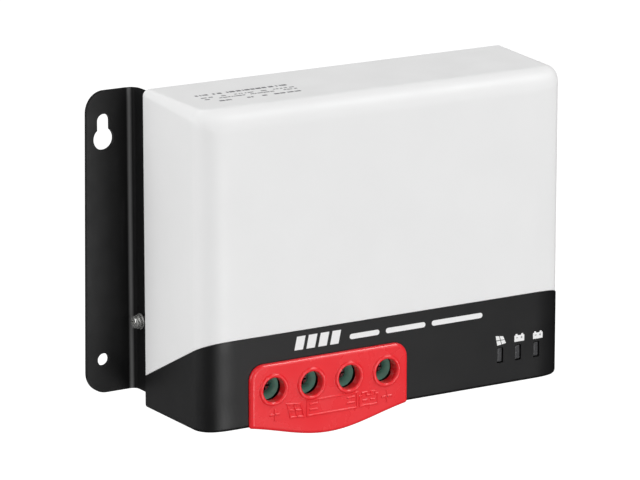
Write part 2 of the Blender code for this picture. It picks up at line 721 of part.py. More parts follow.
def terminal_cover_outline():
    """Outline seen from the front: rounded top corners and a lower edge that bellies down."""
    half = TERMINAL_COVER_HALF_WIDTH
    radius = TERMINAL_COVER_CORNER_RADIUS
    top = TERMINAL_COVER_TOP_Z
    corner_z = TERMINAL_COVER_CORNER_Z
    points = arc((half - radius, top - radius), radius, 0, 90, 7)
    points += arc((-half + radius, top - radius), radius, 90, 180, 7)
    points.append((-half, corner_z))
    reach = half - TERMINAL_COVER_EASE_WIDTH
    belly_radius = (reach ** 2 + TERMINAL_COVER_BELLY ** 2) / (2 * TERMINAL_COVER_BELLY)
    spread = math.degrees(math.asin(reach / belly_radius))
    centre_z = corner_z - TERMINAL_COVER_EASE_DROP - TERMINAL_COVER_BELLY + belly_radius
    points += arc((0, centre_z), belly_radius, 270 - spread, 270 + spread, 18)
    points.append((half, corner_z))
    return points


def weight_front_edges(mesh, front):
    """Give the edges around the front face of a plate full bevel weight; local +Z is the front."""
    bm = bmesh.new()
    bm.from_mesh(mesh)
    weights = bm.edges.layers.float.new("bevel_weight_edge")
    for edge in bm.edges:
        on_front = all(abs(vert.co.z - front) < 0.01 * MM for vert in edge.verts)
        across = len(edge.link_faces) == 2 and edge.calc_face_angle() > math.radians(60)
        if on_front and across:
            edge[weights] = 1.0
    bm.to_mesh(mesh)
    bm.free()


def make_terminal_cover():
    mesh = outline_mesh("terminal_cover", terminal_cover_outline(), TERMINAL_COVER_THICKNESS)
    weight_front_edges(mesh, TERMINAL_COVER_THICKNESS / 2)
    middle_y = TERMINAL_COVER_BACK_Y - TERMINAL_COVER_THICKNESS / 2
    front_y = TERMINAL_COVER_BACK_Y - TERMINAL_COVER_THICKNESS
    cover = new_part("terminal_cover", mesh, "red_plastic", (TERMINALS_CENTRE_X, middle_y, 0),
                     FACING_FRONT)
    bevel(cover, TERMINAL_COVER_EDGE_RADIUS, segments=3, weighted=True)

    reach = TERMINAL_COVER_HALF_WIDTH - RIM_INSET
    inner = reach - RIM_WALL
    rim = box_mesh("rim", (
        (TERMINALS_CENTRE_X - reach, middle_y, RIM_LOW_Z),
        (TERMINALS_CENTRE_X + reach, RIM_BACK_Y, RIM_HIGH_Z)))
    boolean(cover, new_cutter("cover_rim", rim), "UNION")
    hollow = box_mesh("hollow", (
        (TERMINALS_CENTRE_X - inner, TERMINAL_COVER_BACK_Y, RIM_LOW_Z + RIM_WALL),
        (TERMINALS_CENTRE_X + inner, RIM_BACK_Y + MM, RIM_HIGH_Z - RIM_WALL)))
    boolean(cover, new_cutter("cover_hollow", hollow))

    over = 5 * MM
    collars = []
    tubes = []
    bores = []
    mouths = []
    for x in terminal_xs():
        collars.append(((x, middle_y, TERMINAL_Z), (x, front_y - COLLAR_HEIGHT, TERMINAL_Z),
                        COLLAR_FOOT_RADIUS, COLLAR_TOP_RADIUS))
        tubes.append(((x, middle_y, TERMINAL_Z), (x, RIM_BACK_Y, TERMINAL_Z),
                      BORE_RADIUS + COLLAR_TUBE_WALL))
        bores.append(((x, front_y - over, TERMINAL_Z), (x, RIM_BACK_Y + over, TERMINAL_Z),
                      BORE_RADIUS))
        mouths.append(((x, front_y - COLLAR_HEIGHT - 0.2 * MM, TERMINAL_Z),
                       (x, front_y - COLLAR_HEIGHT + BORE_MOUTH_DEPTH, TERMINAL_Z),
                       BORE_RADIUS + BORE_MOUTH_WIDTH, BORE_RADIUS - 0.1 * MM))
    boolean(cover, new_cutter("cover_tubes", rods_mesh("tubes", tubes)), "UNION")
    boolean(cover, new_cutter("cover_collars", rods_mesh("collars", collars)), "UNION")
    boolean(cover, new_cutter("cover_bores", rods_mesh("bores", bores)))
    boolean(cover, new_cutter("cover_mouths", rods_mesh("mouths", mouths)))
    bake(cover)


# ---------------------------------------------------------------- terminals

def terminal_block_mesh():
    """One screw terminal housing, centred on X = 0: screw well, cage chamber, wire entry, bar slot."""
    half = BLOCK_WIDTH / 2
    body = box_mesh("terminal_block", (
        (-half, BLOCK_FRONT_Y, BLOCK_LOW_Z), (half, BOARD_FRONT_Y - GAP, BLOCK_HIGH_Z)))
    block = new_part("block_master", body, "green_plastic")
    over = 2 * MM
    shoulder_y = SCREW_HEAD_TOP_Y + SCREW_HEAD_HEIGHT + GAP
    chamber_y = shoulder_y + SHOULDER_THICKNESS
    well = rods_mesh("well", [((0, BLOCK_FRONT_Y - over, TERMINAL_Z), (0, shoulder_y, TERMINAL_Z),
                               WELL_RADIUS)])
    shank_hole = rods_mesh("shank_hole", [((0, shoulder_y - MM, TERMINAL_Z),
                                           (0, chamber_y + MM, TERMINAL_Z),
                                           SCREW_SHANK_RADIUS + SHANK_CLEARANCE)], SMALL_STEPS)
    chamber_low = TERMINAL_Z - CAGE_HALF_HEIGHT - CAGE_PLAY
    chamber_high = TERMINAL_Z + CAGE_HALF_HEIGHT + CAGE_PLAY
    chamber_half = CAGE_HALF_WIDTH + CAGE_PLAY
    chamber_back = CAGE_BACK_Y + CAGE_PLAY
    chamber = box_mesh("chamber", (
        (-chamber_half, chamber_y, chamber_low), (chamber_half, chamber_back, chamber_high)))
    entry = box_mesh("entry", (
        (-CAGE_WINDOW_HALF_WIDTH, CAGE_FRONT_Y + CAGE_WALL, BLOCK_LOW_Z - over),
        (CAGE_WINDOW_HALF_WIDTH, CAGE_BACK_Y - CAGE_BACK_WALL, TERMINAL_Z)))
    slot_half = BAR_HALF_WIDTH + BAR_CLEARANCE
    slot_back = BAR_FRONT_Y + BAR_THICKNESS + BAR_CLEARANCE
    slot = box_mesh("slot", (
        (-slot_half, BAR_FRONT_Y - BAR_CLEARANCE, TERMINAL_Z),
        (slot_half, slot_back, BLOCK_HIGH_Z + over)))
    for label, mesh in (("well", well), ("shank_hole", shank_hole), ("chamber", chamber),
                        ("entry", entry), ("slot", slot)):
        boolean(block, new_cutter(f"block_{label}", mesh))
    mesh = baked_mesh(block, "terminal_block")
    bpy.data.objects.remove(block)
    return mesh


def clamp_cage_mesh():
    """Clamp cage about the screw's axis: a window for the wire and a hole for the screw."""
    length = CAGE_BACK_Y - CAGE_FRONT_Y
    body = box_mesh("clamp_cage", (
        (-CAGE_HALF_WIDTH, 0, -CAGE_HALF_HEIGHT), (CAGE_HALF_WIDTH, length, CAGE_HALF_HEIGHT)))
    cage = new_part("cage_master", body, "zinc_steel")
    bevel(cage, CAGE_EDGE, segments=1)
    over = 2 * MM
    window = box_mesh("window", (
        (-CAGE_WINDOW_HALF_WIDTH, CAGE_WALL, -CAGE_HALF_HEIGHT - over),
        (CAGE_WINDOW_HALF_WIDTH, length - CAGE_BACK_WALL, CAGE_HALF_HEIGHT + over)))
    boolean(cage, new_cutter("cage_window", window))
    hole = rods_mesh("hole", [((0, -over, 0), (0, CAGE_WALL + over, 0),
                               SCREW_SHANK_RADIUS + SHANK_CLEARANCE)], SMALL_STEPS)
    boolean(cage, new_cutter("cage_hole", hole))
    mesh = baked_mesh(cage, "clamp_cage")
    bpy.data.objects.remove(cage)
    return mesh


def contact_bar_mesh():
    """Flat strip that the wire is clamped against; it climbs out of the block and back to the board."""
    middle_y = BAR_FRONT_Y + BAR_THICKNESS / 2
    low_z = TERMINAL_Z - CAGE_HALF_HEIGHT
    run_z = BLOCK_HIGH_Z + 2 * GAP + BAR_THICKNESS / 2
    foot_y = BOARD_FRONT_Y - GAP - BAR_THICKNESS / 2
    bend = BAR_BEND_RADIUS
    path = [(middle_y, low_z)]
    path += arc((middle_y + bend, run_z - bend), bend, 180, 90, 4)
    path += arc((foot_y - bend, run_z + bend), bend, 270, 360, 4)
    path.append((foot_y, run_z + BAR_END_RISE))
    return folded_sheet_mesh("contact_bar", path, -BAR_HALF_WIDTH, BAR_HALF_WIDTH, "X")


def make_terminals():
    block_mesh = terminal_block_mesh()
    cage_mesh = clamp_cage_mesh()
    bar_mesh = contact_bar_mesh()
    under_head_y = SCREW_HEAD_TOP_Y + SCREW_HEAD_HEIGHT
    screw = make_screw("terminal_screw_1", (0, under_head_y, TERMINAL_Z), FACING_FRONT,
                       SCREW_HEAD_RADIUS, SCREW_HEAD_HEIGHT, SCREW_SHANK_RADIUS,
                       SCREW_TIP_Y - under_head_y)
    bake(screw)
    for number, x in enumerate(terminal_xs(), start=1):
        new_part(f"terminal_block_{number}", block_mesh, "green_plastic", (x, 0, 0))
        new_part(f"clamp_cage_{number}", cage_mesh, "zinc_steel", (x, CAGE_FRONT_Y, TERMINAL_Z))
        bar = new_part(f"contact_bar_{number}", bar_mesh, "tinned_copper", (x, 0, 0))
        solidify(bar, BAR_THICKNESS, 0)
        if number == 1:
            screw.location.x = x
        else:
            new_part(f"terminal_screw_{number}", screw.data, "zinc_steel",
                     (x, under_head_y, TERMINAL_Z), FACING_FRONT)


# ---------------------------------------------------------------- circuit board and its parts

def board_hole_places():
    return [(side * BOARD_HOLE_X, z) for side in (-1, 1) for z in BOARD_HOLE_ZS]


def make_circuit_board():
    slab = box_mesh("circuit_board", (
        (-BOARD_HALF_WIDTH, BOARD_FRONT_Y, BOARD_LOW_Z),
        (BOARD_HALF_WIDTH, BOARD_BACK_Y, BOARD_HIGH_Z)))
    board = new_part("circuit_board", slab, "board_green")
    rods = []
    for x, z in board_hole_places():
        rods.append(((x, BOARD_FRONT_Y - MM, z), (x, BOARD_BACK_Y + MM, z), BOARD_HOLE_RADIUS))
    boolean(board, new_cutter("board_holes", rods_mesh("board_holes", rods, SMALL_STEPS)))


def make_standoffs_and_screws():
    front_y = BOARD_BACK_Y + GAP
    back_y = WEB_FRONT_Y - GAP
    length = back_y - front_y
    for number, (x, z) in enumerate(board_hole_places(), start=1):
        hexagon = rods_mesh("standoff", [((0, 0, 0), (0, 0, -length), STANDOFF_RADIUS)], steps=6)
        standoff = new_part(f"standoff_{number}", hexagon, "zinc_steel", (x, front_y, z),
                            FACING_FRONT)
        bore = rods_mesh("bore", [((0, 0, MM), (0, 0, -length + 2 * MM), STANDOFF_BORE_RADIUS)],
                         SMALL_STEPS)
        boolean(standoff, new_cutter(f"standoff_bore_{number}", bore, (x, front_y, z),
                                     FACING_FRONT))
        make_screw(f"board_screw_{number}", (x, BOARD_FRONT_Y - GAP, z), FACING_FRONT, *BOARD_SCREW)


def winding_points():
    """Centre line of the wire: a loop around the core's section that travels around the ring."""
    steps = WINDING_TURNS * WINDING_STEPS_PER_TURN
    points = []
    for step in range(steps + 1):
        around = math.radians(WINDING_SPAN * step / steps - WINDING_SPAN / 2 + 90)
        loop = 2 * math.pi * step / WINDING_STEPS_PER_TURN
        distance = INDUCTOR_RADIUS + WINDING_RADIUS * math.cos(loop)
        points.append((distance * math.cos(around), distance * math.sin(around),
                       WINDING_RADIUS * math.sin(loop)))
    return points


def make_inductor():
    bpy.ops.mesh.primitive_torus_add(
        major_segments=28, minor_segments=10, major_radius=INDUCTOR_RADIUS,
        minor_radius=CORE_RADIUS)
    ring = bpy.context.object
    core_mesh = ring.data
    bpy.data.objects.remove(ring)
    shade_round(core_mesh)
    new_part("inductor_core", core_mesh, "ferrite", INDUCTOR_CENTRE, FACING_FRONT)

    curve = bpy.data.curves.new("inductor_winding", "CURVE")
    curve.dimensions = "3D"
    curve.bevel_depth = WIRE_RADIUS
    curve.bevel_resolution = 1
    curve.use_fill_caps = True
    points = winding_points()
    spline = curve.splines.new("POLY")
    spline.points.add(len(points) - 1)
    for point, co in zip(spline.points, points):
        point.co = (*co, 1)
    winding = curve_mesh("inductor_winding", curve)
    new_part("inductor_winding", winding, "copper", INDUCTOR_CENTRE, FACING_FRONT)


def make_capacitors():
    """Tall electrolytic cans with the rolled groove near the board end."""
    radius = CAPACITOR_RADIUS
    length = CAPACITOR_LENGTH
    profile = [
        (0, length),
        (radius - MM, length),
        (radius, length - MM),
        (radius, 4 * MM),
        (radius - CAPACITOR_GROOVE, 3 * MM),
        (radius, 2 * MM),
        (radius - CAPACITOR_FOOT_INSET, 0),
        (0, 0),
    ]
    for number, (x, z) in enumerate(CAPACITOR_PLACES, start=1):
        turned(f"capacitor_{number}", "sleeve", profile, (x, BOARD_FRONT_Y - GAP, z), FACING_FRONT)


def make_transistors():
    """Power transistors flat on the thermal pad, their legs bent forward to the board."""
    pad_front_y = WEB_FRONT_Y - GAP - PAD_THICKNESS
    reach = TRANSISTOR_XS[-1] + PAD_MARGIN
    pad = box_mesh("thermal_pad", (
        (-reach, pad_front_y, TRANSISTOR_Z - PAD_MARGIN),
        (reach, WEB_FRONT_Y - GAP, TRANSISTOR_Z + PAD_MARGIN)))
    new_part("thermal_pad", pad, "pad_grey")

    back_y = pad_front_y - GAP
    front_y = back_y - TRANSISTOR_THICKNESS
    leg_y = front_y + LEG_SETBACK
    leg_top = -TRANSISTOR_HALF_HEIGHT + MM
    leg_low = -TRANSISTOR_HALF_HEIGHT - LEG_DROP
    for number, x in enumerate(TRANSISTOR_XS, start=1):
        body = box_mesh("power_transistor", (
            (-TRANSISTOR_HALF_WIDTH, front_y, -TRANSISTOR_HALF_HEIGHT),
            (TRANSISTOR_HALF_WIDTH, back_y, TRANSISTOR_HALF_HEIGHT)))
        transistor = new_part(f"power_transistor_{number}", body, "black_resin",
                              (x, 0, TRANSISTOR_Z))
        for leg in (-1, 0, 1):
            left_x = leg * LEG_PITCH - LEG_HALF_WIDTH
            right_x = leg * LEG_PITCH + LEG_HALF_WIDTH
            down = box_mesh("leg", (
                (left_x, leg_y, leg_low), (right_x, leg_y + LEG_THICKNESS, leg_top)))
            forward = box_mesh("leg_end", (
                (left_x, BOARD_BACK_Y + GAP, leg_low),
                (right_x, leg_y + LEG_THICKNESS / 2, leg_low + LEG_THICKNESS)))
            for label, mesh in (("down", down), ("forward", forward)):
                name = f"transistor_{number}_leg_{leg + 2}_{label}"
                boolean(transistor, new_cutter(name, mesh, (x, 0, TRANSISTOR_Z)), "UNION")


def make_battery_fuse():
    fuse = box_mesh("battery_fuse", (
        (FUSE_LEFT_X, BOARD_FRONT_Y - GAP - FUSE_HEIGHT, FUSE_LOW_Z),
        (FUSE_RIGHT_X, BOARD_FRONT_Y - GAP, FUSE_HIGH_Z)))
    thing = new_part("battery_fuse", fuse, "red_plastic")
    bevel(thing, FUSE_EDGE)


# ---------------------------------------------------------------- status indicators

def make_indicators():
    plate = box_mesh("indicator_board", (
        (INDICATOR_BOARD_LEFT_X, INDICATOR_BOARD_FRONT_Y, INDICATOR_BOARD_LOW_Z),
        (INDICATOR_BOARD_RIGHT_X, INDICATOR_BOARD_BACK_Y, INDICATOR_BOARD_HIGH_Z)))
    board = new_part("indicator_board", plate, "board_green")
    rods = []
    for x in INDICATOR_POST_XS:
        rods.append(((x, INDICATOR_BOARD_FRONT_Y - MM, INDICATOR_Z),
                     (x, INDICATOR_BOARD_BACK_Y + MM, INDICATOR_Z), INDICATOR_HOLE_RADIUS))
    boolean(board, new_cutter("indicator_board_holes", rods_mesh("holes", rods, SMALL_STEPS)))

    half_width = SLOT_WIDTH / 2 - LENS_CLEARANCE
    half_height = SLOT_HEIGHT / 2 - LENS_CLEARANCE
    led_back = INDICATOR_BOARD_FRONT_Y - GAP
    pipe_back = led_back - LED_DEPTH - GAP
    pipe_front = FRONT_Y + LENS_SETBACK
    rim_front = INNER_FRONT_Y + GAP
    for number, x in enumerate(INDICATOR_XS, start=1):
        pipe = box_mesh("light_pipe", (
            (-half_width, pipe_front, -half_height), (half_width, pipe_back, half_height)))
        thing = new_part(f"light_pipe_{number}", pipe, "smoked_lens", (x, 0, INDICATOR_Z))
        rim = box_mesh("pipe_rim", (
            (-half_width - LENS_RIM_WIDTH, rim_front, -half_height - LENS_RIM_WIDTH),
            (half_width + LENS_RIM_WIDTH, rim_front + LENS_RIM_THICKNESS,
             half_height + LENS_RIM_WIDTH)))
        boolean(thing, new_cutter(f"pipe_rim_{number}", rim, (x, 0, INDICATOR_Z)), "UNION")
        led = box_mesh("status_led", (
            (-LED_HALF_WIDTH, led_back - LED_DEPTH, -LED_HALF_HEIGHT),
            (LED_HALF_WIDTH, led_back, LED_HALF_HEIGHT)))
        new_part(f"status_led_{number}", led, "led_resin", (x, 0, INDICATOR_Z))


def make_ribbon_cable():
    """Flat cable from the back of the indicator board up to the main board."""
    start_y = INDICATOR_BOARD_BACK_Y + GAP
    end_y = BOARD_FRONT_Y - GAP
    bend = RIBBON_BEND_RADIUS
    middle_y = (start_y + end_y) / 2
    path = [(start_y, RIBBON_LOW_Z)]
    path += arc((middle_y - bend, RIBBON_LOW_Z + bend), bend, 270, 360, 5)
    path += arc((middle_y + bend, RIBBON_HIGH_Z - bend), bend, 180, 90, 5)
    path.append((end_y, RIBBON_HIGH_Z))
    sheet = folded_sheet_mesh("ribbon_cable", path, RIBBON_LEFT_X, RIBBON_RIGHT_X, "X")
    solidify(new_part("ribbon_cable", sheet, "cable_grey"), RIBBON_THICKNESS, 0)


# ---------------------------------------------------------------- fasteners

def make_cover_screws():
    for number, (x, z) in enumerate(cover_screw_places(), start=1):
        make_screw(f"cover_screw_{number}", (x, WEB_BACK_Y + GAP, z), FACING_BACK, *COVER_SCREW)


def make_sink_screws():
    for number, z in enumerate(SINK_SCREW_ZS, start=1):
        make_screw(f"heat_sink_screw_{number}", (0, SINK_FRONT_Y + SINK_BASE + GAP, z), FACING_BACK,
                   *SINK_SCREW)


def washer(name, x, outer, thickness):
    """A ring about the ground screw's axis; x is its face next to the plate."""
    ring = rods_mesh(name, [((0, 0, 0), (0, 0, thickness), outer)])
    thing = new_part(name, ring, "zinc_steel", (x, GROUND_SCREW_Y, GROUND_SCREW_Z), FACING_LEFT)
    hole = rods_mesh("hole", [((0, 0, -MM), (0, 0, thickness + MM), CLEARANCE_HOLE_RADIUS)])
    boolean(thing, new_cutter(f"{name}_hole", hole, thing.location, FACING_LEFT))
    return thing


def make_ground_terminal():
    """Earth screw through the plate's left leg with a flat washer, a split washer and a nut."""
    flat_x = -LEG_X - SHEET / 2 - GAP
    split_x = flat_x - WASHER_THICKNESS - GAP
    head_x = split_x - LOCK_WASHER_THICKNESS - GAP
    washer("ground_washer", flat_x, WASHER_RADIUS, WASHER_THICKNESS)
    spring = washer("ground_lock_washer", split_x, LOCK_WASHER_RADIUS, LOCK_WASHER_THICKNESS)
    half_slit = LOCK_WASHER_SLIT / 2
    slit = box_mesh("slit", (
        (MM, -half_slit, -MM), (LOCK_WASHER_RADIUS + MM, half_slit, LOCK_WASHER_THICKNESS + MM)))
    boolean(spring, new_cutter("lock_washer_slit", slit, spring.location, FACING_LEFT))
    make_screw("ground_screw", (head_x, GROUND_SCREW_Y, GROUND_SCREW_Z), FACING_LEFT,
               *GROUND_SCREW)
    nut_x = -LEG_X + SHEET / 2 + GAP
    nut_mesh = rods_mesh("ground_nut", [((0, 0, 0), (0, 0, -NUT_HEIGHT), NUT_RADIUS)], steps=6)
    nut = new_part("ground_nut", nut_mesh, "zinc_steel",
                   (nut_x, GROUND_SCREW_Y, GROUND_SCREW_Z), FACING_LEFT)
    bore = rods_mesh("bore", [((0, 0, MM), (0, 0, -NUT_HEIGHT - MM), CLEARANCE_HOLE_RADIUS)],
                     SMALL_STEPS)
    boolean(nut, new_cutter("ground_nut_bore", bore, nut.location, FACING_LEFT))


# ---------------------------------------------------------------- assembly

def main():
    clear_scene()
    new_collection("charge_controller")
    new_collection("cutters")
    assembly = bpy.data.objects.new("assembly", None)
    bpy.data.collections["charge_controller"].objects.link(assembly)
    flange_middle_x = (FLANGE_EDGE_X - LEG_X - SHEET / 2 - FLANGE_BEND_RADIUS) / 2
    plate_middle_z = (PLATE_LOW_Z + PLATE_HIGH_Z) / 2
    assembly.location = (-flange_middle_x, 0, -plate_middle_z)
    for name in MATERIALS:
        make_material(name)

    make_mounting_plate()
    make_heat_sink()
    make_upper_cover()
    make_lower_shell()
    make_terminal_cover()
    make_terminals()
    make_circuit_board()
    make_standoffs_and_screws()
    make_inductor()
    make_capacitors()
    make_transistors()
    make_battery_fuse()
    make_indicators()
    make_ribbon_cable()
    make_cover_screws()
    make_sink_screws()
    make_ground_terminal()


if __name__ == "__main__":
    main()
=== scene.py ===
"""Looks of a wall-mounted solar charge controller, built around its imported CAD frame.

Pieces are modelled in the body frame, like the CAD: X = 0 on the body's centre line, Y = 0 on the
wall and Z = 0 on the underside of the lower shell. finish_piece() moves each one to its place by
ORIGIN, which is read from the CAD nodes' boxes. All sizes are in metres.
"""
import math
import random

import bmesh
import bpy
from mathutils import Matrix, Vector


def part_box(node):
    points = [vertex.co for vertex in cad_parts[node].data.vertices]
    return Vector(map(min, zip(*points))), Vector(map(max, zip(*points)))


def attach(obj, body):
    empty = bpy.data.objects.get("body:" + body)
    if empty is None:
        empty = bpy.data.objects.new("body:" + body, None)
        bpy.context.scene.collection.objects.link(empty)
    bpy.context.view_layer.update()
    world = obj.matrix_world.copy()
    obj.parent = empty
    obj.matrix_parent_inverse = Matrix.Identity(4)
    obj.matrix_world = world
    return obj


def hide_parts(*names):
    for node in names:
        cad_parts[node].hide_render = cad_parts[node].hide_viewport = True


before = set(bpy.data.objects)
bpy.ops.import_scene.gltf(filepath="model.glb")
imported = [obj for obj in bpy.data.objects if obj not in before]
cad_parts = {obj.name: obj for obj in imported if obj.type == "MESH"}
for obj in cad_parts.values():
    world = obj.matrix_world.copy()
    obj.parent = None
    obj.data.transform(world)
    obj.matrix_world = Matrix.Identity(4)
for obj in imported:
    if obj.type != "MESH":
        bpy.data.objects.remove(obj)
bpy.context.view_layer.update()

MM = 0.001


def middle(box, axis):
    return (box[0][axis] + box[1][axis]) / 2


ORIGIN = Vector((middle(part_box("upper_cover"), 0), 0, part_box("lower_shell")[0].z))


def local_box(node):
    """Lowest and highest corners of a CAD node in the body frame."""
    low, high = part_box(node)
    return low - ORIGIN, high - ORIGIN


def centre_of(node):
    return [middle(local_box(node), axis) for axis in range(3)]


COVER_LOW, COVER_HIGH = local_box("upper_cover")
SHELL_LOW = local_box("lower_shell")[0]
GUARD_LOW, GUARD_HIGH = local_box("terminal_cover")
GUARD_MIDDLE = middle((GUARD_LOW, GUARD_HIGH), 0)
GUARD_HALF = (GUARD_HIGH.x - GUARD_LOW.x) / 2
PLATE_LOW, PLATE_HIGH = local_box("mounting_plate")
SINK_LOW, SINK_HIGH = local_box("heat_sink")

# Shells
GAP = 0.3 * MM
WALL = 2.4 * MM
PROUD = 0.25 * MM
CORNER_RADIUS = 9.5 * MM
TOP_FRONT_ROUND = (9.0 * MM, 11.5 * MM)
TOP_SIDE_ROUND = (6.2 * MM, 7.0 * MM)
TOP_BACK_ROUND = (3.2 * MM, 3.6 * MM)
BOTTOM_ROUND = (1.4 * MM, 2.0 * MM)
INNER_ROUND = 0.4 * MM
TOP_TILT = 1.8 * MM
CORNER_STEPS = 12
SEAM_FRONT_Z = 41.8 * MM
SEAM_SLOPE = 0.5
SHELL_EDGE = 0.3 * MM
BOSS_X = 88.0 * MM
BOSS_ZS = (138.0 * MM, 8.0 * MM)
BOSS_RADIUS = 4.0 * MM
BOSS_BORE = 1.9 * MM
BOSS_FRONT_Y = -29.0 * MM
BOSS_RIB = 2.4 * MM
BOARD_POST_XS = (56.0 * MM, 87.6 * MM)
BOARD_POSTS = ((-58.7 * MM, 2.4 * MM), (-55.8 * MM, 1.2 * MM))
OVER = 5 * MM

# Mounting plate and heat sink
SHEET = 2.0 * MM
FLANGE_BEND = 4.0 * MM
WEB_BEND = 2.0 * MM
FLANGE_CORNER = 10.0 * MM
LEG_X = 94.8 * MM
WEB_TOP_Z = 147.2 * MM
PLATE_LOW_Z = 6.3 * MM
PLATE_TOP_Z = 147.6 * MM
EAR_TAPER_LOW = 0.3 * MM
EAR_TAPER_TOP = 1.8 * MM
RIGHT_LEG_TOP_Z = 140.0 * MM
FOOT_LOW_Z = 20.0 * MM
FOOT_HIGH_Z = 128.0 * MM
KEYHOLE = (-111.1 * MM, 125.4 * MM)
KEYHOLE_RADIUS = 5.25 * MM
KEYHOLE_SLOT = 6.6 * MM
KEYHOLE_TOP_Z = 137.0 * MM
FIXING_HOLE = (-112.6 * MM, 22.0 * MM)
FIXING_HOLE_RADIUS = 3.0 * MM
CLEARANCE_RADIUS = 2.1 * MM
PLATE_EDGE = 0.3 * MM
PLATE_FOOT_X = 82.0 * MM
# Painted highlight along the flange's bend: where its pale stripe is centred and how far it reaches
# to each side
BEND_HIGHLIGHT_X = ORIGIN.x - 98.1 * MM
BEND_HIGHLIGHT_REACH = (1.3 * MM, 0.3 * MM)
FIN_COUNT = 15
FIN_THICKNESS = 1.6 * MM
SINK_BASE = 3.0 * MM
FIN_ROOT = 0.8 * MM
SINK_POCKET = 4.5 * MM

# Terminal guard
GUARD_PLATE = 1.9 * MM
GUARD_EDGE = 1.8 * MM
GUARD_CORNER = 7.2 * MM
GUARD_TOE = 1.2 * MM
GUARD_CORNER_Z = -0.2 * MM
RIM_INSET = 4.6 * MM
RIM_LOW_Z = 4.3 * MM
RIM_HIGH_Z = 25.2 * MM
RIM_WALL = 1.6 * MM
COLLAR_FOOT = 7.75 * MM
CREST_RADIUS = 6.65 * MM
CREST_ROUND = 0.95 * MM
COLLAR_HEIGHT = 1.0 * MM
BORE_RADIUS = 5.8 * MM
TUBE_RADIUS = 6.4 * MM
TUBE_DEPTH = 4.2 * MM
MARK_HEIGHT = 0.4 * MM
MARK_ROOT = 0.3 * MM
MARK_WIDTH = 1.1 * MM
MARK_CREST = 0.4 * MM

# Terminals and indicators
TERMINAL_XS = [middle(local_box(f"terminal_block_{n}"), 0) for n in range(1, 5)]
TERMINAL_Z = 16.9 * MM
WELL_RADIUS = 5.0 * MM
WELL_CHAMFER = 0.5 * MM
MOUTH_RADIUS = 6.4 * MM
MOUTH_DEPTH = 2.4 * MM
BAFFLE_BACK_Y = -63.8 * MM
BAFFLE_BORE = 6.0 * MM
TRAY_PLAY = (0.5 * MM, 0.8 * MM)
TRAY_WALL = 1.8 * MM
BAFFLE = 0.4 * MM
TRAY_FLOOR = 1.2 * MM
ENTRY_HALF = 5.4 * MM
ENTRY_CORNER = 1.2 * MM
CAGE_FRAME = 2.5 * MM
WELL_FLOOR_Y = -57.2 * MM
UNDER_HEAD_Y = -57.5 * MM
TERMINAL_HEAD = (4.0 * MM, 4.6 * MM)
TERMINAL_SHANK = 2.5 * MM
SHANK_BORE = 2.85 * MM
BLOCK_CORNER = 1.2 * MM
BLOCK_CHAMFER = 0.6 * MM
BLOCK_CHAMBER_Y = -54.7 * MM
CAGE_PLAY = 0.6 * MM
CAGE_BASE = 2 * MM
CAGE_SIDE = 1.5 * MM
BAR_PLAY = 0.4 * MM
BAR_SHEET = 1.5 * MM
INDICATOR_XS = [middle(local_box(f"light_pipe_{n}"), 0) for n in range(1, 4)]
INDICATOR_Z = 14.35 * MM
SLOT_WIDTH = 3.4 * MM
SLOT_HEIGHT = 7.5 * MM
SLOT_CORNER = 0.5 * MM
LENS_PLAY = 0.35 * MM
LENS_EDGE = ((0.55, 0.0), (0.3, 0.06), (0.12, 0.2), (0.0, 0.45))

# Screws: kind, how many, head radius, head height, shank radius
BACK_SCREWS = (("cover_screw", 4, 2.9 * MM, 2.2 * MM, 1.5 * MM),
               ("heat_sink_screw", 2, 3.0 * MM, 2.2 * MM, 1.6 * MM))
FINE_PITCH = 0.7 * MM
EARTH_HEAD = (2.9 * MM, 2.0 * MM)
EARTH_SHANK = 1.75 * MM
WASHER_EDGE = 0.2 * MM
SPLIT_HALF = 0.35 * MM
NUT_RADIUS = 3.6 * MM
NUT_CHAMFER = 0.35 * MM

# Prints on the black band and dashes on top, as plain millimetres
PRINT_DEPTH = 0.05 * MM
SLANTED_BLOCKS = ((-50.4, 32.9), (5.9, 6.3), 6.3, 0.22)
BAR_ENDS = ((-21.0, -5.0), (-1.5, 20.0), (23.5, 51.5))
BAR_ZS = (33.9, 36.4)
PANEL_CORNERS = ((59.0, 23.9), (63.2, 23.35), (64.85, 19.8), (60.0, 19.2))
PANEL_CELL = 0.46
BATTERIES = ((69.6, 75.1, 19.6, 23.3), (80.1, 85.5, 19.5, 23.1))
SIGN_WIDTH = 0.26
LABEL_DEPTH = 0.06 * MM
LABEL_ENDS = (-83.0, -35.0)
LABEL_STAGGER = 0.4
DASH_WIDTHS = (0.5, 3.2)
DASH_GAPS = (0.35, 1.4)
DASH_SHARE = 0.82
LABEL_ROWS = ((-37.0, 1.9), (-41.3, 1.0), (-44.3, 1.0), (-49.3, 1.5))


# ---- mesh helpers

def mesh_of(bm, name):
    bmesh.ops.recalc_face_normals(bm, faces=bm.faces)
    mesh = bpy.data.meshes.new(name)
    bm.to_mesh(mesh)
    bm.free()
    return mesh


def new_object(name, mesh):
    thing = bpy.data.objects.new(name, mesh)
    bpy.context.scene.collection.objects.link(thing)
    return thing


def box_mesh(low, high):
    size = [abs(b - a) for a, b in zip(low, high)]
    centre = [(a + b) / 2 for a, b in zip(low, high)]
    bm = bmesh.new()
    bmesh.ops.create_cube(
        bm, size=1.0, matrix=Matrix.Translation(centre) @ Matrix.Diagonal((*size, 1)))
    return mesh_of(bm, "box")


def arc(centre, radius, start, end, steps):
    """Points on a circular arc, both ends included, angles in degrees."""
    points = []
    for step in range(steps + 1):
        angle = math.radians(start + (end - start) * step / steps)
        points.append((centre[0] + radius * math.cos(angle), centre[1] + radius * math.sin(angle)))
    return points


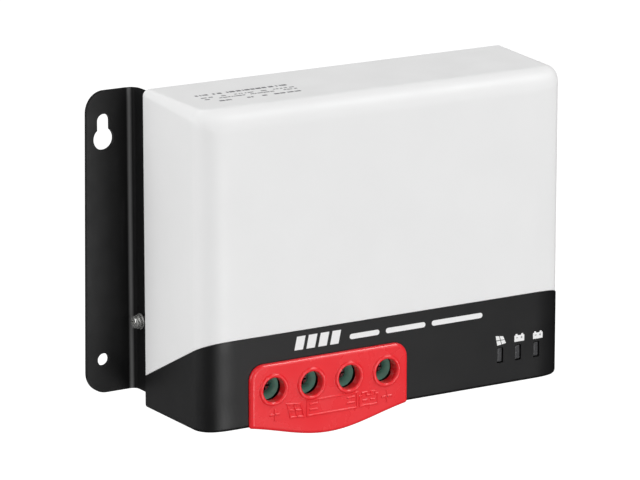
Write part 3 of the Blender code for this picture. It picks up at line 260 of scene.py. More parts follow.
def rounded_rectangle(low, high, radius, steps=5):
    """Outline of a rectangle with rounded corners, anticlockwise."""
    points = []
    left, right = low[0] + radius, high[0] - radius
    under, over = low[1] + radius, high[1] - radius
    corners = ((right, over), (left, over), (left, under), (right, under))
    for quarter, corner in enumerate(corners):
        points += arc(corner, radius, quarter * 90, quarter * 90 + 90, steps)
    return points


def loft(bm, rings, closed=True):
    """Quads between neighbouring rings of vertices; closed joins each ring's end to its start."""
    for first, second in zip(rings, rings[1:]):
        count = len(first)
        for index in range(count if closed else count - 1):
            after = (index + 1) % count
            bm.faces.new((first[index], first[after], second[after], second[index]))


def slabs_mesh(slabs, axis="Y"):
    """Closed solids, each through outlines of equal length at their depths along the axis."""
    bm = bmesh.new()
    for outlines, depths in slabs:
        rings = []
        for outline, depth in zip(outlines, depths):
            places = [(a, depth, b) if axis == "Y" else (a, b, depth) for a, b in outline]
            rings.append([bm.verts.new(place) for place in places])
        bm.faces.new(rings[0])
        bm.faces.new(rings[-1])
        loft(bm, rings)
    return mesh_of(bm, "slabs")


def slab_mesh(outline, near, far, axis="Y"):
    return slabs_mesh([((outline, outline), (near, far))], axis)


def add_turned(bm, profile, start, axis, steps=48, closed=False):
    """Revolve (radius, height) pairs about an axis through start; closed is for rings."""
    turn = Vector(axis).to_track_quat("Z", "Y").to_matrix()
    rings = []
    for radius, height in profile:
        count = 1 if radius < 0.001 * MM else steps
        ring = []
        for index in range(count):
            angle = 2 * math.pi * index / steps
            spot = Vector((radius * math.cos(angle), radius * math.sin(angle), height))
            ring.append(bm.verts.new(Vector(start) + turn @ spot))
        rings.append(ring)
    pairs = list(zip(rings, rings[1:]))
    if closed:
        pairs.append((rings[-1], rings[0]))
    for first, second in pairs:
        for index in range(steps):
            after = (index + 1) % steps
            corners = [first[index % len(first)], first[after % len(first)],
                       second[after % len(second)], second[index % len(second)]]
            bm.faces.new(list(dict.fromkeys(corners)))


def turned_mesh(profile, start, axis, steps=48, closed=False):
    bm = bmesh.new()
    add_turned(bm, profile, start, axis, steps, closed)
    return mesh_of(bm, "turned")


def rods_mesh(rods, steps=48):
    """Plain rods, each given as (start, end, radius)."""
    bm = bmesh.new()
    for start, end, radius in rods:
        run = Vector(end) - Vector(start)
        profile = ((0, 0), (radius, 0), (radius, run.length), (0, run.length))
        add_turned(bm, profile, start, run, steps)
    return mesh_of(bm, "rods")


def bake(thing):
    """Replace an object's modifiers by the mesh they make."""
    bpy.context.view_layer.update()
    graph = bpy.context.evaluated_depsgraph_get()
    mesh = bpy.data.meshes.new_from_object(thing.evaluated_get(graph))
    thing.modifiers.clear()
    thing.data = mesh


def combine(thing, mesh, operation="DIFFERENCE"):
    """Cut or join a mesh into an object and leave nothing of the operand behind."""
    operand = new_object("operand", mesh)
    modifier = thing.modifiers.new("combine", "BOOLEAN")
    modifier.operation = operation
    modifier.object = operand
    modifier.solver = "EXACT"
    bake(thing)
    bpy.data.objects.remove(operand)


def soften(thing, width, segments=2, angle=40):
    """Round the sharp edges a little and keep the large faces flat in shade."""
    bevel = thing.modifiers.new("rounded_edges", "BEVEL")
    bevel.width = width
    bevel.segments = segments
    bevel.limit_method = "ANGLE"
    bevel.angle_limit = math.radians(angle)
    weigh(thing)


def weigh(thing):
    weighted = thing.modifiers.new("flat_faces", "WEIGHTED_NORMAL")
    weighted.keep_sharp = True


def finish_piece(thing, material, replaces=(), body="chassis", smooth=45):
    """Put a piece in its place, shade and paint it, hide the CAD nodes it replaces and hang it on
    the body it rides on.
    """
    thing.data.transform(Matrix.Translation(ORIGIN))
    thing.data.shade_smooth()
    thing.data.set_sharp_from_angle(angle=math.radians(smooth))
    thing.data.materials.clear()
    thing.data.materials.append(material)
    thing.data.name = thing.name
    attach(thing, body)
    if replaces:
        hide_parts(*replaces)
    return thing


# ---- materials

NO_COAT = (0.0, 0.03)


class Surface:
    """A Principled material built up in steps from object coordinates."""

    def __init__(self, name, colour, roughness, metallic=0.0, specular=0.5, coat=NO_COAT):
        self.material = bpy.data.materials.new(name)
        self.material.use_nodes = True
        self.material.diffuse_color = (*colour, 1)
        self.tree = self.material.node_tree
        self.shader = self.tree.nodes["Principled BSDF"]
        for socket, value in (("Base Color", (*colour, 1)), ("Roughness", roughness),
                              ("Metallic", metallic), ("Specular IOR Level", specular),
                              ("Coat Weight", coat[0]), ("Coat Roughness", coat[1])):
            self.shader.inputs[socket].default_value = value
        self.coordinates = self.tree.nodes.new("ShaderNodeTexCoord").outputs["Object"]

    def link(self, source, target):
        self.tree.links.new(source, target)

    def texture(self, kind, scale):
        made = self.tree.nodes.new(kind)
        made.inputs["Scale"].default_value = scale
        self.link(self.coordinates, made.inputs["Vector"])
        return made

    def noise(self, scale, detail, stretch=(1, 1, 1)):
        made = self.texture("ShaderNodeTexNoise", scale)
        made.inputs["Detail"].default_value = detail
        mapping = self.tree.nodes.new("ShaderNodeMapping")
        mapping.inputs["Scale"].default_value = stretch
        self.link(self.coordinates, mapping.inputs["Vector"])
        self.link(mapping.outputs["Vector"], made.inputs["Vector"])
        return made.outputs["Fac"]

    def cells(self, scale):
        made = self.texture("ShaderNodeTexVoronoi", scale)
        made.feature = "SMOOTH_F1"
        return made.outputs["Distance"]

    def spread(self, source, low, high, out_low=0.0, out_high=1.0):
        """Map low..high of a source to out_low..out_high and hold it there outside."""
        made = self.tree.nodes.new("ShaderNodeMapRange")
        for key, value in (("From Min", low), ("From Max", high),
                           ("To Min", out_low), ("To Max", out_high)):
            made.inputs[key].default_value = value
        self.link(source, made.inputs["Value"])
        return made.outputs["Result"]

    def tint(self, source, colour):
        """Blend the base colour towards another one where the source is high."""
        base = self.shader.inputs["Base Color"]
        mix = self.tree.nodes.new("ShaderNodeMix")
        mix.data_type = "RGBA"
        factor, first, second = mix.inputs[0], mix.inputs[6], mix.inputs[7]
        first.default_value = base.default_value
        if base.is_linked:
            self.link(base.links[0].from_socket, first)
        second.default_value = (*colour, 1)
        self.link(source, factor)
        self.link(mix.outputs[2], base)

    def stain(self, colour, scale, detail, low, high, amount, stretch=(1, 1, 1)):
        """Patches of noise in another colour."""
        patches = self.noise(scale, detail, stretch)
        self.tint(self.spread(patches, low, high, 0, amount), colour)

    def roughen(self, scale, detail, low, high):
        """Roughness that wanders between low and high."""
        patches = self.noise(scale, detail)
        self.link(self.spread(patches, 0.3, 0.7, low, high), self.shader.inputs["Roughness"])

    def grain(self, scale, detail, depth, stretch=(1, 1, 1)):
        self.bump(self.noise(scale, detail, stretch), depth)

    def bump(self, source, depth):
        made = self.tree.nodes.new("ShaderNodeBump")
        made.inputs["Distance"].default_value = depth
        self.link(source, made.inputs["Height"])
        normal = self.shader.inputs["Normal"]
        if normal.is_linked:
            self.link(normal.links[0].from_socket, made.inputs["Normal"])
        self.link(made.outputs["Normal"], normal)


def darker(colour, share):
    return tuple(channel * share for channel in colour)


def moulded(name, colour, roughness, grain, depth, specular=0.5, coat=NO_COAT):
    """Moulded plastic: spark-eroded grain, faint flow mottling and lightly polished patches."""
    surface = Surface(name, colour, roughness, 0.0, specular, coat)
    surface.stain(darker(colour, 0.95), 28, 4, 0.35, 0.75, 0.5)
    surface.stain(darker(colour, 0.86), 2600, 2, 0.62, 0.8, 0.35)
    surface.roughen(70, 5, roughness - 0.045, roughness + 0.045)
    surface.bump(surface.cells(grain), depth)
    surface.grain(grain * 2.2, 2, depth * 0.5)
    return surface.material


def powder_coat(name, colour, roughness):
    """Baked powder paint: orange peel over fine grain, with scuffs where it is handled and a
    painted highlight: a paler stripe along the flange's bend."""
    surface = Surface(name, colour, roughness, specular=0.3)
    surface.stain((0.03, 0.03, 0.031), 160, 6, 0.66, 0.8, 0.5, (1, 1, 0.12))
    # Painted highlight: a stripe along the flange's bend, masked by the body X coordinate
    place = surface.tree.nodes.new("ShaderNodeSeparateXYZ")
    surface.link(surface.coordinates, place.inputs["Vector"])
    stripe = surface.tree.nodes.new("ShaderNodeMath")
    stripe.operation = "MULTIPLY"
    for side, socket in zip((-1, 1), stripe.inputs):
        start, end = (BEND_HIGHLIGHT_X + side * reach for reach in BEND_HIGHLIGHT_REACH)
        surface.link(surface.spread(place.outputs["X"], start, end), socket)
    # Painted highlight: the paint is tinted pale grey inside the stripe along the bend
    surface.tint(stripe.outputs["Value"], (0.15, 0.15, 0.15))
    surface.roughen(120, 5, roughness - 0.05, roughness + 0.07)
    surface.grain(900, 2, 0.012 * MM)
    surface.grain(4200, 2, 0.004 * MM)
    return surface.material


def metal(name, colour, roughness, stretch, scale=900, depth=0.004, metallic=1.0):
    """Bare metal: lines of drawing or rolling along one axis, with dulled stains."""
    surface = Surface(name, colour, roughness, metallic)
    surface.stain(darker(colour, 0.75), 190, 5, 0.5, 0.72, 0.7)
    surface.roughen(320, 5, roughness - 0.06, roughness + 0.12)
    surface.grain(scale, 4, depth * MM, stretch)
    return surface.material


def circuit(name, colour):
    """Solder mask over copper tracks: stepped cells make the tracks, small dots the vias."""
    surface = Surface(name, colour, 0.32)
    tracks = surface.texture("ShaderNodeTexVoronoi", 190)
    tracks.distance = "CHEBYCHEV"
    lines = surface.spread(tracks.outputs["Distance"], 0.42, 0.46)
    surface.tint(lines, tuple(channel * 1.9 for channel in colour))
    vias = surface.spread(surface.cells(420), 0.16, 0.12)
    surface.tint(vias, (0.5, 0.47, 0.4))
    surface.roughen(300, 4, 0.25, 0.4)
    surface.bump(lines, 0.02 * MM)
    surface.grain(2400, 2, 0.004 * MM)
    return surface.material


def wound_wire(name, colour):
    """Enamelled copper wire: deep gloss with darker varnish gathered between the turns."""
    surface = Surface(name, colour, 0.22, 0.85, coat=(0.6, 0.1))
    surface.stain(darker(colour, 0.45), 340, 4, 0.45, 0.7, 0.8)
    surface.roughen(500, 4, 0.16, 0.34)
    surface.grain(1500, 3, 0.01 * MM)
    return surface.material


def banded(name, colour, stripe, scale, roughness):
    """Sleeve or flat cable: parallel bands with a fine grain."""
    surface = Surface(name, colour, roughness)
    waves = surface.texture("ShaderNodeTexWave", scale)
    surface.tint(surface.spread(waves.outputs["Fac"], 0.46, 0.54), stripe)
    surface.roughen(400, 4, roughness - 0.06, roughness + 0.1)
    surface.grain(1800, 3, 0.01 * MM)
    return surface.material


def smoked_lens(name, colour):
    """Smoked light guide: clear gloss over a dark tint, frosted a little inside."""
    surface = Surface(name, colour, 0.2, coat=(0.5, 0.08))
    surface.stain((0.09, 0.09, 0.095), 900, 3, 0.4, 0.7, 0.6)
    surface.roughen(1300, 3, 0.14, 0.28)
    surface.grain(2600, 2, 0.003 * MM)
    return surface.material


def ink(name, colour, breaks):
    """Pad-printed ink: slightly uneven cover over the grain of the plastic below."""
    surface = Surface(name, colour, 0.55)
    surface.stain(darker(colour, 0.7), 2400, 3, breaks, breaks + 0.2, 0.7)
    surface.roughen(900, 3, 0.48, 0.62)
    surface.bump(surface.cells(3200), 0.004 * MM)
    return surface.material


WHITE = moulded("white_shell", (0.80, 0.80, 0.80), 0.42, 2600, 0.006 * MM)
BLACK = moulded("black_shell", (0.0095, 0.0095, 0.0100), 0.42, 2300, 0.008 * MM)
RED = moulded("red_guard", (0.88, 0.020, 0.028), 0.27, 3000, 0.003 * MM, 0.65, (0.4, 0.18))
GREEN = moulded("green_terminal", (0.32, 0.82, 0.66), 0.38, 2800, 0.006 * MM)
RESIN = moulded("moulded_resin", (0.014, 0.014, 0.015), 0.6, 1900, 0.02 * MM)
FUSE = moulded("fuse_body", (0.55, 0.04, 0.05), 0.35, 3000, 0.005 * MM)
FERRITE = moulded("ferrite", (0.30, 0.27, 0.07), 0.62, 1500, 0.03 * MM)
PAD = moulded("thermal_pad", (0.36, 0.38, 0.41), 0.85, 1200, 0.03 * MM)
LED = moulded("led_resin", (0.74, 0.74, 0.62), 0.28, 4000, 0.003 * MM)
PAINT = powder_coat("black_paint", (0.0085, 0.0085, 0.0088), 0.42)
ALUMINIUM = metal("aluminium", (0.66, 0.67, 0.69), 0.34, (1, 1, 0.03))
ZINC = metal("zinc_steel", (0.84, 0.84, 0.82), 0.2, (1, 1, 1), 1400, 0.006, 0.8)
SCREW_STEEL = metal("screw_steel", (0.42, 0.43, 0.44), 0.2, (1, 1, 1), 1400, 0.006)
TINNED = metal("tinned_copper", (0.74, 0.68, 0.56), 0.3, (0.1, 1, 1))
BOARD = circuit("board_green", (0.012, 0.11, 0.045))
WIRE = wound_wire("enamelled_wire", (0.62, 0.23, 0.07))
SLEEVE = banded("capacitor_sleeve", (0.012, 0.018, 0.06), (0.5, 0.52, 0.55), 38, 0.35)
RIBBON = banded("ribbon_grey", (0.34, 0.34, 0.36), (0.2, 0.2, 0.22), 390, 0.55)
LENS = smoked_lens("smoked_lens", (0.05, 0.05, 0.052))
WHITE_INK = ink("white_ink", (0.82, 0.82, 0.82), 0.6)
GREY_INK = ink("grey_ink", (0.17, 0.17, 0.18), 0.5)


# ---- shells

def seam_z(y):
    return SEAM_FRONT_Z - SEAM_SLOPE * (y - COVER_LOW.y)


def soft_corner(main_turn, ease_length):
    """Quarter turn of unit radius: an arc of main_turn degrees, then a curve that eases out over
    ease_length. Gives (angle, run along the long leg, run along the short leg) from the short
    leg's end to the long leg's end."""
    points = []
    for step in range(CORNER_STEPS + 1):
        angle = math.radians(main_turn * step / CORNER_STEPS)
        points.append((angle, 1 - math.cos(angle), math.sin(angle)))
    stride = ease_length / CORNER_STEPS
    for step in range(CORNER_STEPS):
        halfway = 1 - (step + 0.5) / CORNER_STEPS
        heading = math.radians(90 - (90 - main_turn) * halfway ** 2)
        left = 1 - (step + 1) / CORNER_STEPS
        angle = math.radians(90 - (90 - main_turn) * left ** 2)
        _, along, across = points[-1]
        along += stride * math.sin(heading)
        points.append((angle, along, across + stride * math.cos(heading)))
    return points


PLAN_CORNER = soft_corner(70, 1.26)
EDGE_CORNER = soft_corner(82, 0.3)


def plan_path(half_width, front_y, back_y):
    """A shell's outline from above, left back to right back: x, y, normal, share of front."""
    turn = [(half_width, back_y, 1, 0, 0)]
    depth = PLAN_CORNER[-1][2]
    for angle, along, across in PLAN_CORNER:
        turn.append((half_width - along * CORNER_RADIUS,
                     front_y + (depth - across) * CORNER_RADIUS,
                     math.cos(angle), -math.sin(angle), angle / (math.pi / 2)))
    left = [(-x, y, -normal_x, normal_y, share) for x, y, normal_x, normal_y, share in turn]
    return left + turn[::-1]


def front_share(y):
    """0 at the shells' open back and 1 at their front."""
    return (COVER_HIGH.y - y) / (COVER_HIGH.y - COVER_LOW.y)


def shell_rows(bm, path, seam_shift, end_z, tilt, rounds):
    """Rows of vertices from the seam to the end wall, over an edge whose rounding changes from
    the back, along the side, to the front. Each rounding is its inset and its drop."""
    towards = 1 if end_z > SEAM_FRONT_Z else -1
    rows = [[bm.verts.new((x, y, seam_z(y) + seam_shift)) for x, y, _, _, _ in path]]
    full_drop, depth = EDGE_CORNER[-1][1:]
    for _, along, across in reversed(EDGE_CORNER):
        row = []
        for x, y, normal_x, normal_y, share in path:
            forward = front_share(y)
            blend = share * share * (3 - 2 * share)
            inset, drop = (
                back + (side - back) * forward + (front - side) * blend
                for back, side, front in zip(*rounds))
            inset *= 1 - across / depth
            z = end_z - towards * drop * along / full_drop
            y -= normal_y * inset
            row.append(bm.verts.new((x - normal_x * inset, y, z - tilt * front_share(y))))
        rows.append(row)
    return rows


def shell_mesh(proud, wall, seam_shift, end_z, tilt, rounds):
    """A closed shell with an open back: outer skin, inner skin and the rims between them."""
    back_y = COVER_HIGH.y
    path = plan_path(COVER_HIGH.x + proud, COVER_LOW.y - proud, back_y)
    inner_path = [(x - normal_x * wall, y - normal_y * wall, normal_x, normal_y, share)
                  for x, y, normal_x, normal_y, share in path]
    for end in (0, -1):
        inner_path[end] = (inner_path[end][0], back_y, *inner_path[end][2:])
    inner_end = end_z - wall if end_z > SEAM_FRONT_Z else end_z + wall
    inner_rounds = [[max(size - wall, INNER_ROUND) for size in pair] for pair in rounds]
    bm = bmesh.new()
    outer = shell_rows(bm, path, seam_shift, end_z, tilt, rounds)
    inner = shell_rows(bm, inner_path, seam_shift, inner_end, tilt, inner_rounds)
    for rows in (outer, inner):
        loft(bm, rows, closed=False)
        bm.faces.new(rows[-1])
    loft(bm, (outer[0], inner[0]), closed=False)
    for column in (0, -1):
        loft(bm, ([row[column] for row in outer], [row[column] for row in inner]), closed=False)
    bm.faces.new((outer[-1][0], outer[-1][-1], inner[-1][-1], inner[-1][0]))
    return mesh_of(bm, "shell")


def add_bosses(shell, boss_z, wall_z):
    """Two screw bosses, tied to the side wall and to the end wall by ribs."""
    back_y = COVER_HIGH.y
    for side in (-1, 1):
        x = side * BOSS_X
        wall_x = side * (COVER_HIGH.x - WALL / 2)
        half = BOSS_RIB / 2
        for rib in (((x, BOSS_FRONT_Y, boss_z - half), (wall_x, back_y, boss_z + half)),
                    ((x - half, BOSS_FRONT_Y, boss_z), (x + half, back_y, wall_z))):
            combine(shell, box_mesh(*rib), "UNION")
        post = ((x, BOSS_FRONT_Y - MM, boss_z), (x, back_y, boss_z), BOSS_RADIUS)
        bore = ((x, BOSS_FRONT_Y + MM, boss_z), (x, back_y + MM, boss_z), BOSS_BORE)
        combine(shell, rods_mesh([post]), "UNION")
        combine(shell, rods_mesh([bore]))


def make_upper_cover():
    shift = GAP / 2 * math.hypot(1, SEAM_SLOPE)
    cover = new_object("white_cover", shell_mesh(
        0, WALL, shift, COVER_HIGH.z - LABEL_DEPTH, TOP_TILT,
        (TOP_BACK_ROUND, TOP_SIDE_ROUND, TOP_FRONT_ROUND)))
    add_bosses(cover, BOSS_ZS[0], COVER_HIGH.z - WALL / 2)
    soften(cover, SHELL_EDGE)
    finish_piece(cover, WHITE, ["upper_cover"])


def indicator_outline(x, inset, corner):
    """The window of an indicator, drawn in by inset."""
    width = SLOT_WIDTH / 2 - inset
    height = SLOT_HEIGHT / 2 - inset
    return rounded_rectangle((x - width, INDICATOR_Z - height),
                             (x + width, INDICATOR_Z + height), corner)


def make_lower_shell():
    shift = -GAP / 2 * math.hypot(1, SEAM_SLOPE)
    shell = new_object("black_shell", shell_mesh(
        PROUD, WALL + PROUD, shift, SHELL_LOW.z, 0, [BOTTOM_ROUND] * 3))
    add_bosses(shell, BOSS_ZS[1], WALL / 2)

    front_y = SHELL_LOW.y
    half = GUARD_HALF - RIM_INSET + GAP
    window = rounded_rectangle((GUARD_MIDDLE - half, RIM_LOW_Z - GAP),
                               (GUARD_MIDDLE + half, RIM_HIGH_Z + GAP), SLOT_CORNER)
    combine(shell, slab_mesh(window, front_y - OVER, front_y + OVER))
    inside = half + TRAY_PLAY[0]
    outside = inside + TRAY_WALL
    low_z = RIM_LOW_Z - TRAY_PLAY[1]
    high_z = RIM_HIGH_Z + TRAY_PLAY[1]
    tray = box_mesh((GUARD_MIDDLE - outside, front_y + WALL / 2, low_z - TRAY_FLOOR),
                    (GUARD_MIDDLE + outside, BAFFLE_BACK_Y, high_z + TRAY_WALL))
    combine(shell, tray, "UNION")
    hollow = box_mesh((GUARD_MIDDLE - inside, front_y - OVER, low_z),
                      (GUARD_MIDDLE + inside, BAFFLE_BACK_Y - BAFFLE, high_z))
    combine(shell, hollow)
    bores = [((x, front_y, TERMINAL_Z), (x, 0, TERMINAL_Z), BAFFLE_BORE) for x in TERMINAL_XS]
    combine(shell, rods_mesh(bores, 64))
    for x in INDICATOR_XS:
        slot = indicator_outline(x, 0, SLOT_CORNER)
        combine(shell, slab_mesh(slot, front_y - OVER, front_y + OVER))
    cage_low, cage_high = local_box("clamp_cage_1")
    for x in TERMINAL_XS:
        entry = rounded_rectangle((x - ENTRY_HALF, cage_low.y + CAGE_FRAME),
                                  (x + ENTRY_HALF, cage_high.y), ENTRY_CORNER)
        combine(shell, slab_mesh(entry, -OVER, OVER, "Z"))
    for x in BOARD_POST_XS:
        for end_y, radius in BOARD_POSTS:
            post = ((x, front_y + WALL - MM, INDICATOR_Z), (x, end_y, INDICATOR_Z), radius)
            combine(shell, rods_mesh([post]), "UNION")
    soften(shell, SHELL_EDGE)
    finish_piece(shell, BLACK, ["lower_shell"])


# ---- mounting plate and heat sink

def plate_columns():
    """Middle line of the folded sheet from the flange's edge to the foot: x, y and how far both
    ends are drawn in, which rounds the flange's corners."""
    y = -SHEET / 2
    columns = []
    for inset, rise in arc((0, 0), FLANGE_CORNER, 180, 90, 14):
        columns.append((PLATE_LOW.x + FLANGE_CORNER + inset, y, FLANGE_CORNER - rise))
    web_y = COVER_HIGH.y + GAP + SHEET / 2
    bends = (
        ((-LEG_X - FLANGE_BEND, y - FLANGE_BEND), FLANGE_BEND, 90, 0),
        ((-LEG_X + WEB_BEND, web_y + WEB_BEND), WEB_BEND, 180, 270),
        ((LEG_X - WEB_BEND, web_y + WEB_BEND), WEB_BEND, 270, 360),
        ((LEG_X - WEB_BEND, y - WEB_BEND), WEB_BEND, 0, 90),
    )
    for centre, radius, start, end in bends:
        columns += [(a, b, 0) for a, b in arc(centre, radius, start, end, 12)]
    columns.append((PLATE_FOOT_X, y, 0))
    return columns


def keyhole_outline():
    half = KEYHOLE_SLOT / 2
    neck = math.degrees(math.acos(half / KEYHOLE_RADIUS))
    points = arc(KEYHOLE, KEYHOLE_RADIUS, 180 - neck, 360 + neck, 40)
    return points + arc((KEYHOLE[0], KEYHOLE_TOP_Z - half), half, 0, 180, 20)


def make_mounting_plate():
    bm = bmesh.new()
    rows = [[], []]
    ear = -LEG_X - PLATE_LOW.x
    for x, y, inset in plate_columns():
        share = max(-LEG_X - x, 0) / ear
        rows[0].append(bm.verts.new((x + share * EAR_TAPER_LOW, y, PLATE_LOW_Z + inset)))
        rows[1].append(bm.verts.new((x + share * EAR_TAPER_TOP, y, PLATE_TOP_Z - inset)))
    loft(bm, rows, closed=False)
    plate = new_object("wall_bracket", mesh_of(bm, "sheet"))
    thicken = plate.modifiers.new("sheet", "SOLIDIFY")
    thicken.thickness = SHEET
    thicken.offset = 0
    thicken.use_even_offset = True
    bake(plate)

    far = 130 * MM
    web_front = COVER_HIGH.y + GAP
    web_back = web_front + SHEET
    straight = LEG_X - WEB_BEND
    combine(plate, box_mesh((-straight, web_front, PLATE_LOW.z),
                            (straight, web_back, PLATE_LOW_Z + OVER)), "UNION")
    trims = (
        ((-straight, web_front - OVER, WEB_TOP_Z), (far, OVER, PLATE_HIGH.z + OVER)),
        ((PLATE_FOOT_X - OVER, web_back + GAP, RIGHT_LEG_TOP_Z), (far, OVER, PLATE_HIGH.z + OVER)),
        ((PLATE_FOOT_X - OVER, -SHEET - MM, 0), (LEG_X - SHEET / 2, OVER, FOOT_LOW_Z)),
        ((PLATE_FOOT_X - OVER, -SHEET - MM, FOOT_HIGH_Z),
         (LEG_X - SHEET / 2, OVER, RIGHT_LEG_TOP_Z + OVER)),
    )
    for trim in trims:
        combine(plate, box_mesh(*trim))
    combine(plate, slab_mesh(keyhole_outline(), -OVER, OVER))
    x, z = FIXING_HOLE
    rods = [((x, -OVER, z), (x, OVER, z), FIXING_HOLE_RADIUS)]
    for kind, count, *_ in BACK_SCREWS:
        for number in range(1, count + 1):
            x, _, z = centre_of(f"{kind}_{number}")
            start, end = (x, COVER_HIGH.y - 2 * MM, z), (x, COVER_HIGH.y + OVER, z)
            rods.append((start, end, CLEARANCE_RADIUS))
    _, y, z = centre_of("ground_screw")
    rods.append(((-LEG_X - OVER, y, z), (-LEG_X + OVER, y, z), CLEARANCE_RADIUS))
    combine(plate, rods_mesh(rods))
    soften(plate, PLATE_EDGE)
    finish_piece(plate, PAINT, ["mounting_plate"])


def sink_outline():
    """Cross-section of the extrusion: a base with round-tipped fins and filleted roots."""
    base_back = SINK_LOW.y + SINK_BASE
    width = SINK_HIGH.x - SINK_LOW.x
    step = (width - FIN_THICKNESS) / (FIN_COUNT - 1)
    tip = FIN_THICKNESS / 2
    points = [(SINK_LOW.x, SINK_LOW.y), (SINK_HIGH.x, SINK_LOW.y)]
    for index in reversed(range(FIN_COUNT)):
        left = SINK_LOW.x + index * step
        right = left + FIN_THICKNESS
        if index < FIN_COUNT - 1:
            points += arc((right + FIN_ROOT, base_back + FIN_ROOT), FIN_ROOT, 270, 180, 4)
        points += arc((left + tip, SINK_HIGH.y - tip), tip, 0, 180, 8)
        if index > 0:
            points += arc((left - FIN_ROOT, base_back + FIN_ROOT), FIN_ROOT, 0, -90, 4)
    return points


def make_heat_sink():
    sink = new_object("finned_heat_sink", slab_mesh(sink_outline(), SINK_LOW.z, SINK_HIGH.z, "Z"))
    base_back = SINK_LOW.y + SINK_BASE
    for number in (1, 2):
        x, _, z = centre_of(f"heat_sink_screw_{number}")
        combine(sink, box_mesh((x - SINK_POCKET, base_back, z - SINK_POCKET),
                               (x + SINK_POCKET, 0, z + SINK_POCKET)))
        hole = ((x, SINK_LOW.y - MM, z), (x, base_back + MM, z), CLEARANCE_RADIUS)
        combine(sink, rods_mesh([hole]))
    soften(sink, 0.15 * MM)
    finish_piece(sink, ALUMINIUM, ["heat_sink"])


# ---- terminal guard

def guard_outline(inset):
    """The guard's outline from the front, drawn in by inset: round top corners and a belly."""
    centre = GUARD_MIDDLE
    half = GUARD_HALF - inset
    radius = GUARD_CORNER - inset
    top = GUARD_HIGH.z - inset
    points = arc((centre + half - radius, top - radius), radius, 0, 90, 16)
    points += arc((centre - half + radius, top - radius), radius, 90, 180, 16)
    toe = GUARD_TOE * (1 - inset / (2 * GUARD_EDGE))
    corner_z = GUARD_CORNER_Z + inset
    points += arc((centre - half + toe, corner_z + toe), toe, 180, 255, 6)
    reach = half - toe * 0.7
    for step in range(41):
        share = -1 + 2 * step / 40
        bow = (1 - share ** 2 + (1 + math.cos(math.pi * share)) / 2) / 2
        points.append((centre + reach * share, corner_z - (GUARD_CORNER_Z - GUARD_LOW.z) * bow))
    points += arc((centre + half - toe, corner_z + toe), toe, 285, 360, 6)
    return points


def collar_profile():
    """Ring around a bore: a coved outside, a rounded crest and a short tube behind the face."""
    profile = [(TUBE_RADIUS, -TUBE_DEPTH), (TUBE_RADIUS, -1.2 * MM), (COLLAR_FOOT, -0.4 * MM),
               (COLLAR_FOOT, 0)]
    outside = CREST_RADIUS + CREST_ROUND
    crest_height = COLLAR_HEIGHT - CREST_ROUND
    for step in range(1, 5):
        share = step / 4
        profile.append((COLLAR_FOOT + (outside - COLLAR_FOOT) * share, crest_height * share ** 2))
    profile += arc((CREST_RADIUS, crest_height), CREST_ROUND, 10, 180, 12)
    profile += [(BORE_RADIUS, -0.4 * MM), (BORE_RADIUS, -TUBE_DEPTH)]
    return profile


def mark_outline(start, end, width):
    """Outline of a straight line between two points of a front face."""
    run = Vector(end) - Vector(start)
    along = run.normalized() * (width / 2)
    across = Vector((-along.y, along.x))
    return (Vector(start) - along - across, Vector(end) + along - across,
            Vector(end) + along + across, Vector(start) - along + across)


def moved_outline(points, offset):
    """A closed outline moved outwards by offset, with its corners kept sharp."""
    moved = []
    for index, point in enumerate(points):
        before = (point - points[index - 1]).normalized()
        after = (points[(index + 1) % len(points)] - point).normalized()
        across = Vector((before.y + after.y, -before.x - after.x))
        moved.append(point + across * (offset / (1 + before.dot(after))))
    return moved


def ring_mark(points, front_y):
    """A raised line with sloped sides that follows a closed outline on the guard's face."""
    bm = bmesh.new()
    rings = []
    section = ((MARK_WIDTH, front_y + MARK_ROOT), (MARK_WIDTH, front_y),
               (MARK_CREST, front_y - MARK_HEIGHT))
    for width, y in section + tuple((-width, y) for width, y in reversed(section)):
        outline = moved_outline([Vector(point) * MM for point in points], width / 2)
        rings.append([bm.verts.new((a, y, b)) for a, b in outline])
    loft(bm, rings + rings[:1])
    return mesh_of(bm, "mark")


def stroke_mark(start, end, front_y):
    """A straight raised line with sloped sides on the guard's face."""
    outlines = [mark_outline([a * MM for a in start], [a * MM for a in end], width)
                for width in (MARK_WIDTH, MARK_WIDTH, MARK_CREST)]
    return slabs_mesh([(outlines, (front_y + MARK_ROOT, front_y, front_y - MARK_HEIGHT))])


# Line symbols on the guard, in millimetres: a panel, a load field, a battery and polarity signs.
MARK_RINGS = (
    ((-55.6, 9.0), (-48.6, 8.2), (-46.6, 2.0), (-53.9, 2.6)),
    ((-45.0, 9.0), (-18.4, 9.0), (-18.4, 1.9), (-45.0, 1.9)),
    ((-16.9, 7.0), (-15.6, 7.0), (-15.6, 8.3), (-13.2, 8.3), (-13.2, 7.0), (-10.9, 7.0),
     (-10.9, 8.3), (-8.5, 8.3), (-8.5, 7.0), (-7.3, 7.0), (-7.3, 2.2), (-16.9, 2.2)),
)
MARK_STROKES = (
    ((-64.5, 5.0), (-59.7, 5.0)), ((-62.1, 2.6), (-62.1, 7.4)),
    ((-4.7, 4.8), (0.1, 4.8)), ((-2.3, 2.4), (-2.3, 7.2)),
    ((-54.6, 5.9), (-47.7, 5.2)), ((-52.1, 8.5), (-50.3, 2.4)),
    ((-43.4, 7.2), (-40.0, 7.2)), ((-43.4, 4.6), (-40.0, 4.6)),
    ((-23.4, 7.2), (-20.0, 7.2)), ((-23.4, 4.6), (-20.0, 4.6)),
    ((-15.0, 4.6), (-13.2, 4.6)), ((-10.8, 4.6), (-9.0, 4.6)),
)


